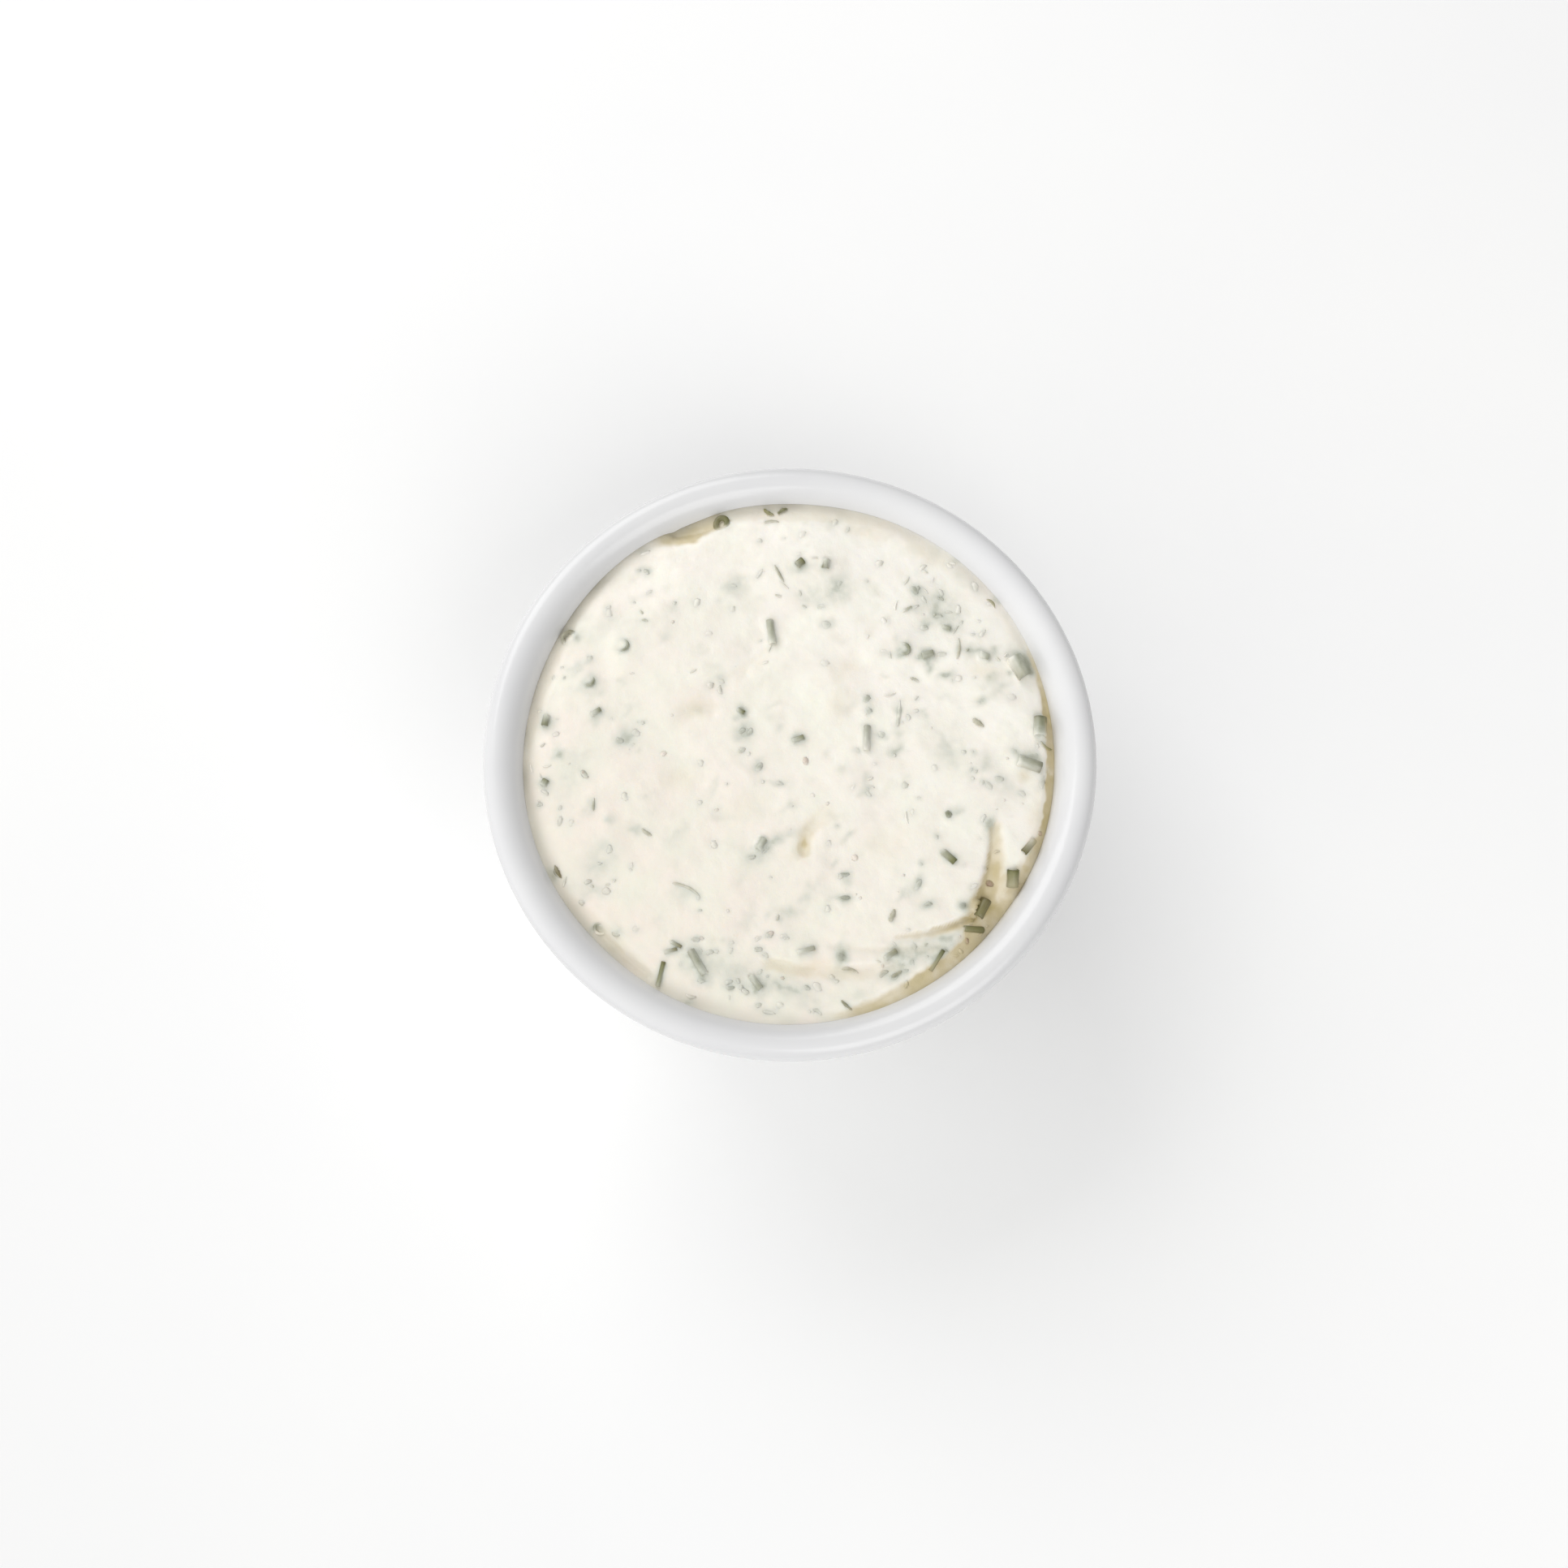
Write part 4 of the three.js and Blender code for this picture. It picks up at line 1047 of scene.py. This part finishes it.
def make_chives(material):
    """Short hollow tubes: the profile runs from a skin a little way inside one open end, over the
    rounded cut edge, along the outside and into the other end. The section is a little oval, and painted
    light makes the top lighter away from the ends."""
    x, y, azimuth, length, diameter, film = CHIVES.T
    x, y = clear_of_wall(x, y, length, diameter)
    sides = 20
    outer = diameter / 2
    wall = np.minimum(CHIVE_WALL, 0.42 * outer)
    inner = outer - wall
    dip = np.minimum(CHIVE_HOLLOW, 0.2 * length)
    half = [
        (dip, inner * 0.6), (dip * 0.9, inner), (CHIVE_CUT, inner), (0, inner + wall * 0.3),
        (0, outer - wall * 0.3), (CHIVE_CUT, outer), (0.2 * length, outer),
    ]
    shares = np.stack([np.broadcast_to(step, length.shape) for step, _ in half], -1) / length[:, None]
    rings = np.stack([ring for _, ring in half], -1)
    middle = np.full((len(x), 1), 0.5)
    shares = np.concatenate([shares, middle, 1 - shares[:, ::-1]], 1)
    rings = np.concatenate([rings, (outer * 0.97)[:, None], rings[:, ::-1]], 1)
    rng = np.random.default_rng(CHIVE_SEED)
    each = (len(x), 1, 1)
    oval = 1 + 0.07 * rng.normal(0, 1, each) * np.cos(2 * turns(sides) + rng.uniform(0, 6, each))
    path = laid_path(x, y, azimuth, length, 0.2 * diameter, shares)
    points, faces = carried(path, rings[..., None] * oval)
    # Painted light: the top strip of each tube is lighter away from its cut ends, added to a random tone
    # for each piece.
    top_light = np.clip(np.sin(turns(sides)), 0, 1) ** 2
    within = np.clip(np.minimum(shares, 1 - shares) * length[:, None] / 0.3, 0, 1)
    light = rng.uniform(0, 0.3, each) + 0.5 * top_light * within[..., None]
    light = np.concatenate([light.reshape(len(x), -1), np.zeros((len(x), 2))], 1)
    return put_herbs("chive_cuts", points, faces, material, film_on(points, film, 1.0), light)


def make_chive_rings(material):
    """Each ring is a rounded section turned round an upright axis. It leans, so that one side
    stands out of the sauce and the other is filmed over."""
    x, y, diameter, wall, film, outward = CHIVE_RINGS.T
    x, y = clear_of_wall(x, y, diameter, np.full(len(x), RING_HEIGHT))
    sides, corners = 40, 12
    turn = turns(sides)
    level, upright = (0.5 * np.sign(part) * np.abs(part) ** 0.6 for part in polar(1.0, turns(corners)))
    rng = np.random.default_rng(RING_SEED)
    oval = 1 + 0.1 * np.cos(2 * turn[None] + rng.uniform(0, 6, (len(x), 1)))
    radius = (diameter[:, None] / 2 - wall[:, None] / 2) * oval
    radius = radius[:, :, None] + wall[:, None, None] * level
    px = x[:, None, None] + radius * np.cos(turn)[None, :, None]
    py = y[:, None, None] + radius * np.sin(turn)[None, :, None]
    facing = np.cos(turn[None] - np.radians(outward)[:, None])[..., None]
    lean = RING_LEAN * np.minimum(1, 2.5 * film)[:, None, None]
    pz = sauce_height(x, y)[:, None, None] + RING_HEIGHT * upright + lean * (facing - 1)
    points = np.stack([px, py, pz], -1).reshape(len(x), -1, 3)
    row, side = np.meshgrid(np.arange(sides), np.arange(corners), indexing="ij")
    here, ahead = row * corners, (row + 1) % sides * corners
    after = (side + 1) % corners
    quads = np.stack([here + side, ahead + side, ahead + after, here + after], -1).reshape(-1, 4)
    offset = (sides * corners * np.arange(len(x)))[:, None, None]
    faces = [(quads[None] + offset).reshape(-1, 4)]
    hidden = smooth(0.3 - 0.8 * np.broadcast_to(facing, px.shape).reshape(len(x), -1))
    hidden = hidden * np.minimum(1, 3 * film[:, None])
    cover = film[:, None] + (1 - film[:, None]) * hidden
    tone = rng.uniform(0, 0.5, len(x))
    return put_herbs("chive_rings", points, faces, material, film_on(points, cover), tone)


def beads(name, material, rng, rows, path, swell, uneven, flat=1.0):
    """Many small closed bodies carried along their paths. swell is the radius along a path for half
    the width, and uneven what each point's radius is multiplied by. Each is filmed on a slant of its
    own, and toned by random draw."""
    *_, width, film = rows.T
    radius = (width / 2)[:, None, None] * np.asarray(swell)[None, :, None] * uneven
    points, faces = carried(path, radius, flat)
    tone = rng.uniform(0, 1, len(rows))
    cover = film_on(points, film, rng.uniform(-1, 1, len(rows)))
    return put_herbs(name, points, faces, material, cover, tone)


def make_needles(material):
    """Thin bowed strands that taper to both ends and lie along the sauce's surface."""
    rng = np.random.default_rng(NEEDLE_SEED)
    x, y, azimuth, length, thick, film = ALL_NEEDLES.T
    x, y = clear_of_wall(x, y, length, thick)
    shares = np.linspace(0, 1, 9)
    path = laid_path(x, y, azimuth, length, 0, shares, length * rng.normal(0, 0.07, len(x)))
    lift = thick[:, None] * (0.28 - 0.35 * film[:, None])
    path[..., 2] = surface_height(path[..., 0], path[..., 1]) + lift
    taper = np.interp(shares, [0, 0.12, 0.5, 0.85, 1], [0.45, 0.8, 1, 0.7, 0.25])
    lumps = (1 + 0.12 * rng.normal(0, 1, (len(x), len(shares), 1))) * np.ones(BEAD_SIDES)
    return beads("dill_needles", material, rng, ALL_NEEDLES, path, taper, lumps)


def make_crumbs(material):
    """Small torn bits of leaf: flattened beads whose rings have uneven radii."""
    rng = np.random.default_rng(CRUMB_SEED)
    x, y, azimuth, length, width, film = ALL_CRUMBS.T
    x, y = clear_of_wall(x, y, length, width)
    shares = np.array([0.04, 0.25, 0.5, 0.75, 0.96])
    rise = width * (0.1 - 0.2 * film)
    path = laid_path(x, y, azimuth, length, rise, shares, length * rng.normal(0, 0.08, len(x)))
    uneven = rng.uniform(0.65, 1.2, (len(x), len(shares), BEAD_SIDES))
    swell = (0.45, 0.9, 1.0, 0.85, 0.4)
    return beads("leaf_crumbs", material, rng, ALL_CRUMBS, path, swell, uneven, flat=0.38)


def make_specks(material):
    """Tiny pinkish-brown beads, half sunk."""
    shape_seed, place_seed = SPECK_SEEDS
    rng = np.random.default_rng(shape_seed)
    places = np.concatenate([BROWN_SPECKS[:, :2], scatter_places(place_seed, SPECKS)])
    count = len(places)
    width = np.concatenate([BROWN_SPECKS[:, 2], rng.uniform(0.25, 0.5, SPECKS)])
    length = width * rng.uniform(0.9, 1.5, count)
    x, y = clear_of_wall(*places.T, length, width)
    shares = np.array([0.06, 0.35, 0.7, 0.94])
    swell = np.array([0.5, 1, 0.95, 0.45])
    path = laid_path(x, y, rng.uniform(0, 360, count), length, 0, shares)
    uneven = rng.uniform(0.75, 1.15, (count, len(shares), 6))
    points, faces = carried(path, (width / 2)[:, None, None] * swell[None, :, None] * uneven, flat=0.4)
    film = np.concatenate([BROWN_SPECKS[:, 3], rng.uniform(0.4, 0.85, SPECKS)])
    tone = np.clip(film + rng.uniform(-0.1, 0.3, count), 0, 1)
    return put_herbs("spice_specks", points, faces, material, film_on(points, 0.6 * film), tone)


# ------------------------------------------------------------------ materials
def srgb(red, green, blue):
    """A colour given as 0 to 255 display values, as linear values with alpha."""
    shares = np.array([red, green, blue]) / 255
    linear = np.where(shares <= 0.04045, shares / 12.92, ((shares + 0.055) / 1.055) ** 2.4)
    return (*linear.tolist(), 1.0)


def new_material(name):
    """A material, its node tree and its shader."""
    material = bpy.data.materials.new(name)
    material.use_nodes = True
    return material, material.node_tree, material.node_tree.nodes["Principled BSDF"]


def feed(tree, node, inputs):
    """Gives a node its inputs, each a value or the output of another node."""
    for key, given in inputs.items():
        if isinstance(given, bpy.types.NodeSocket):
            tree.links.new(given, node.inputs[key])
        else:
            node.inputs[key].default_value = given


def add_node(tree, kind, inputs, **settings):
    """A new node with its settings and inputs."""
    node = tree.nodes.new(kind)
    for key, value in settings.items():
        setattr(node, key, value)
    feed(tree, node, inputs)
    return node


def calculated(tree, operation, *values, clamp=False):
    """The result of a sum, product or power."""
    inputs = dict(enumerate(values))
    node = add_node(tree, "ShaderNodeMath", inputs, operation=operation, use_clamp=clamp)
    return node.outputs["Value"]


def object_place(tree):
    """The place on the piece, in metres."""
    return add_node(tree, "ShaderNodeTexCoord", {}).outputs["Object"]


def object_noise(tree, scale, detail, roughness=0.5):
    """Noise over the piece, scale in waves per metre."""
    inputs = {"Vector": object_place(tree), "Scale": scale, "Detail": detail, "Roughness": roughness}
    return add_node(tree, "ShaderNodeTexNoise", inputs).outputs["Fac"]


def ranged(tree, value, from_low, from_high, low, high):
    """A value carried from one range to another, held at the ends."""
    inputs = {"Value": value, "From Min": from_low, "From Max": from_high, "To Min": low, "To Max": high}
    return add_node(tree, "ShaderNodeMapRange", inputs).outputs["Result"]


def mixed(tree, share, first, second):
    """A mix of two colours, each a colour or a socket. The node has other sockets of the same names,
    for numbers and vectors, so the colour ones are found by their type."""
    node = add_node(tree, "ShaderNodeMix", {"Factor": share}, data_type="RGBA")
    numbers = [number for number, socket in enumerate(node.inputs) if socket.type == "RGBA"]
    feed(tree, node, dict(zip(numbers, (first, second))))
    return next(socket for socket in node.outputs if socket.type == "RGBA")


def attribute(tree, name):
    """A value that the piece has at each point."""
    return add_node(tree, "ShaderNodeAttribute", {}, attribute_name=name).outputs["Fac"]


def bump(tree, height, distance):
    """The normal of a surface raised by a height from 0 to 1 times a distance in metres."""
    inputs = {"Height": height, "Distance": distance, "Strength": 1.0}
    return add_node(tree, "ShaderNodeBump", inputs).outputs["Normal"]


def porcelain_material():
    """White glazed porcelain with a faint orange-peel in the glaze, bare and rough on the foot ring."""
    material, tree, shader = new_material("porcelain_glaze")
    tint = ranged(tree, object_noise(tree, 60, 3), 0.3, 0.7, 0, 1)
    glaze = mixed(tree, tint, srgb(226, 226, 227), srgb(230, 230, 230))
    parts = add_node(tree, "ShaderNodeSeparateXYZ", {"Vector": object_place(tree)})
    bare = ranged(tree, parts.outputs["Z"], 0.0002, 0.0006, 1, 0)
    peel = object_noise(tree, 420, 2)
    glaze_rough = ranged(tree, peel, 0.3, 0.7, 0.2, 0.26)
    bare_rough = ranged(tree, bare, 0, 1, 0, 0.6)
    feed(tree, shader, {
        "Base Color": mixed(tree, bare, glaze, srgb(226, 220, 208)),
        "Roughness": calculated(tree, "ADD", glaze_rough, bare_rough),
        "Normal": bump(tree, peel, 0.00004),
        "IOR": 1.5,
        "Coat Weight": 0.15,
        "Coat Roughness": 0.12,
    })
    return material


HERB_VALUES = ("Veil", "Tan", "Pale")  # each also an attribute of the piece, in small letters
FINE_GRAIN = 900  # waves per metre


def sauce_over_herb():
    """A node group: the sauce's colour for how much herb shows through it, how much tan it has and how
    much painted light. It goes from mottled ivory cream, lighter towards the back right as painted
    light, over pale grey-green to the dull green of herb that is barely covered, and where it is thin
    and oily to tan, the tan partly painted shade in the recesses."""
    tree = bpy.data.node_groups.new("sauce_over_herb", "ShaderNodeTree")
    for name in HERB_VALUES:
        tree.interface.new_socket(name=name, in_out="INPUT", socket_type="NodeSocketFloat")
    tree.interface.new_socket(name="Color", in_out="OUTPUT", socket_type="NodeSocketColor")
    given = tree.nodes.new("NodeGroupInput").outputs
    warmth = ranged(tree, object_noise(tree, 150, 3), 0.36, 0.64, 0, 1)
    dull = mixed(tree, warmth, srgb(239, 236, 221), srgb(244, 234, 222))
    bright = mixed(tree, warmth, srgb(255, 251, 240), srgb(255, 249, 240))
    # Painted light: the cream is duller towards the front left and brighter towards the back right.
    colour = mixed(tree, given["Pale"], dull, bright)
    cloudy = ranged(tree, object_noise(tree, 260, 2), 0.5, 0.75, 0, 0.5)
    colour = mixed(tree, cloudy, colour, srgb(236, 232, 220))
    fine = ranged(tree, object_noise(tree, FINE_GRAIN, 4, 0.6), 0.3, 0.6, 0.8, 1)
    ragged = calculated(tree, "MULTIPLY", given["Veil"], fine, clamp=True)
    for value, low, high, layer in (
        (ragged, 0, 0.55, srgb(215, 216, 204)),  # pale grey-green
        (ragged, 0.5, 1, srgb(154, 157, 136)),  # dull green
        (given["Tan"], 0, 0.6, srgb(216, 203, 170)),  # pale tan
        (given["Tan"], 0.5, 1, srgb(190, 174, 120)),  # oily tan, partly painted recess shade
    ):
        colour = mixed(tree, ranged(tree, value, low, high, 0, 1), colour, layer)
    add_node(tree, "NodeGroupOutput", {"Color": colour})
    return tree


def use_group(tree, group):
    """The group's colour for the piece's own values."""
    inputs = {name: attribute(tree, name.lower()) for name in HERB_VALUES}
    return add_node(tree, "ShaderNodeGroup", inputs, node_tree=group).outputs["Color"]


def sauce_material(over_herb):
    """Ivory cream, grey-green where herb lies under the surface, tan where the sauce is thin and partly
    as painted recess shade, and painted contact shade where it meets the porcelain."""
    material, tree, shader = new_material("tartar_cream")
    fine = object_noise(tree, FINE_GRAIN, 4, 0.6)
    cream = use_group(tree, over_herb)
    feed(tree, shader, {
        # The edge value darkens the cream towards the wall as painted contact shade.
        "Base Color": mixed(tree, attribute(tree, "edge"), cream, srgb(166, 161, 145)),
        "Roughness": ranged(tree, fine, 0.3, 0.7, 0.32, 0.46),
        "Normal": bump(tree, fine, 0.00008),
        "IOR": 1.42,
        "Subsurface Weight": 0.35,
        "Subsurface Radius": (1.0, 0.85, 0.65),
        "Subsurface Scale": 0.0009,
        "Coat Weight": 0.25,
        "Coat Roughness": 0.22,
    })
    return material


def herb_material(name, dark, light, over_herb, streak_scale):
    """Green that varies from piece to piece and along it and leans to brown in places, under a film
    that has the colour of the sauce round it."""
    material, tree, shader = new_material(name)
    streak = object_noise(tree, streak_scale, 3, 0.6)
    streaked = ranged(tree, streak, 0.3, 0.7, 0, 0.3)
    # For the chive tubes, tone also carries their painted top light.
    tone = calculated(tree, "MULTIPLY_ADD", attribute(tree, "tone"), 0.75, streaked)
    green = mixed(tree, tone, dark, light)
    wilted = ranged(tree, object_noise(tree, 130, 1), 0.5, 0.72, 0, 0.5)
    green = mixed(tree, wilted, green, srgb(128, 112, 82))
    feed(tree, shader, {
        "Base Color": mixed(tree, attribute(tree, "film"), green, use_group(tree, over_herb)),
        "Roughness": ranged(tree, streak, 0.3, 0.7, 0.4, 0.55),
        "Normal": bump(tree, streak, 0.00005),
        "Coat Weight": 0.15,
        "Coat Roughness": 0.3,
        "Subsurface Weight": 0.15,
        "Subsurface Radius": (0.8, 0.8, 0.6),
        "Subsurface Scale": 0.0005,
    })
    return material


def floor_material():
    """A pale, barely mottled board."""
    material, tree, shader = new_material("floor_pale")
    mottle = ranged(tree, object_noise(tree, 9, 4), 0.3, 0.7, 0, 1)
    board = mixed(tree, mottle, srgb(250, 250, 250), srgb(253, 253, 252))
    feed(tree, shader, {"Base Color": board, "Roughness": 0.75})
    return material


# ------------------------------------------------------------------ the scene
def make_floor():
    """A square in the plane of the foot, far wider than the view."""
    far = FLOOR_REACH
    corners = np.array([(-far, -far, 0), (far, -far, 0), (far, far, 0), (-far, far, 0)])
    put_mesh("floor", corners, [np.array([[0, 1, 2, 3]])], floor_material())


def aim(thing, place, target):
    """Stands a light or the camera at a place, in millimetres, looking at a target."""
    heading = np.array(target, float) - np.array(place, float)
    thing.location = np.array(place) * MM
    thing.rotation_euler = Vector(heading).to_track_quat("-Z", "Y").to_euler()


def make_camera():
    """Looks at the middle of the rim's plane from the front, shifted so that it falls where it does
    in the photograph."""
    data = bpy.data.cameras.new("camera")
    camera = put_object("camera", data)
    bpy.context.scene.camera = camera
    data.sensor_width = SENSOR_WIDTH
    data.lens = SENSOR_WIDTH * CAMERA_DISTANCE * PIXELS_PER_MM / PHOTO_WIDTH
    data.shift_x = (PHOTO_WIDTH / 2 - OBJECT_PIXEL[0]) / PHOTO_WIDTH
    data.shift_y = (OBJECT_PIXEL[1] - PHOTO_WIDTH / 2) / PHOTO_WIDTH
    data.clip_start = 0.01
    data.clip_end = 10
    back, up = math.cos(CAMERA_ELEVATION), math.sin(CAMERA_ELEVATION)
    place = (0, -CAMERA_DISTANCE * back, RIM_PLANE + CAMERA_DISTANCE * up)
    aim(camera, place, (0, 0, RIM_PLANE))


def make_light(name, azimuth, elevation, distance, width, height, power):
    """A soft rectangle of light that looks at the middle of the sauce."""
    data = bpy.data.lights.new(name, "AREA")
    data.shape = "RECTANGLE"
    data.size = width * MM
    data.size_y = height * MM
    data.energy = power
    x, y, z = (distance * part for part in direction(azimuth, elevation))
    aim(put_object(name, data), (x, y, RIM_PLANE + z), (0, 0, RIM_PLANE))


def make_room():
    """A pale room that is brightest towards the front left: its strength is
    SHADE + GLOW * (0.5 + 0.5 d.u)^2, where d is the direction looked in and u the brightest."""
    world = bpy.data.worlds.new("studio")
    bpy.context.scene.world = world
    world.use_nodes = True
    tree = world.node_tree
    look = add_node(tree, "ShaderNodeTexCoord", {}).outputs["Generated"]
    brightest = direction(ROOM_AZIMUTH, ROOM_ELEVATION)
    facing = add_node(tree, "ShaderNodeVectorMath", {0: look, 1: brightest}, operation="DOT_PRODUCT")
    half = calculated(tree, "MULTIPLY_ADD", facing.outputs["Value"], 0.5, 0.5)
    square = calculated(tree, "POWER", half, 2)
    strength = calculated(tree, "MULTIPLY_ADD", square, ROOM_GLOW, ROOM_SHADE)
    feed(tree, tree.nodes["Background"], {"Color": (1, 1, 1, 1), "Strength": strength})


def finish_piece(piece, slot, *replaced):
    """Puts a piece on the model's one body and over the solids that it replaces. The slot is not used."""
    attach(piece, "root")
    if replaced:
        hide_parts(*replaced)


make_camera()
make_room()
for window, terms in WINDOWS.items():
    make_light(window, *terms)
bpy.context.scene.view_settings.view_transform = "Standard"
make_floor()

over_herb = sauce_over_herb()
finish_piece(make_dish(porcelain_material()), "porcelain", "dish")
finish_piece(make_sauce(sauce_material(over_herb)), "sauce", "tartar_sauce")

chive_green = herb_material("chive_green", srgb(66, 68, 26), srgb(130, 131, 76), over_herb, 700)
dill_green = herb_material("dill_green", srgb(92, 92, 46), srgb(148, 141, 88), over_herb, 1200)
leaf_green = herb_material("leaf_green", srgb(74, 79, 50), srgb(122, 125, 92), over_herb, 1500)
speck_brown = herb_material("speck_brown", srgb(134, 104, 76), srgb(216, 192, 176), over_herb, 1500)

finish_piece(make_chives(chive_green), "herbs")
finish_piece(make_chive_rings(chive_green), "herbs")
finish_piece(make_needles(dill_green), "herbs")
finish_piece(make_crumbs(leaf_green), "herbs")
finish_piece(make_specks(speck_brown), "specks")
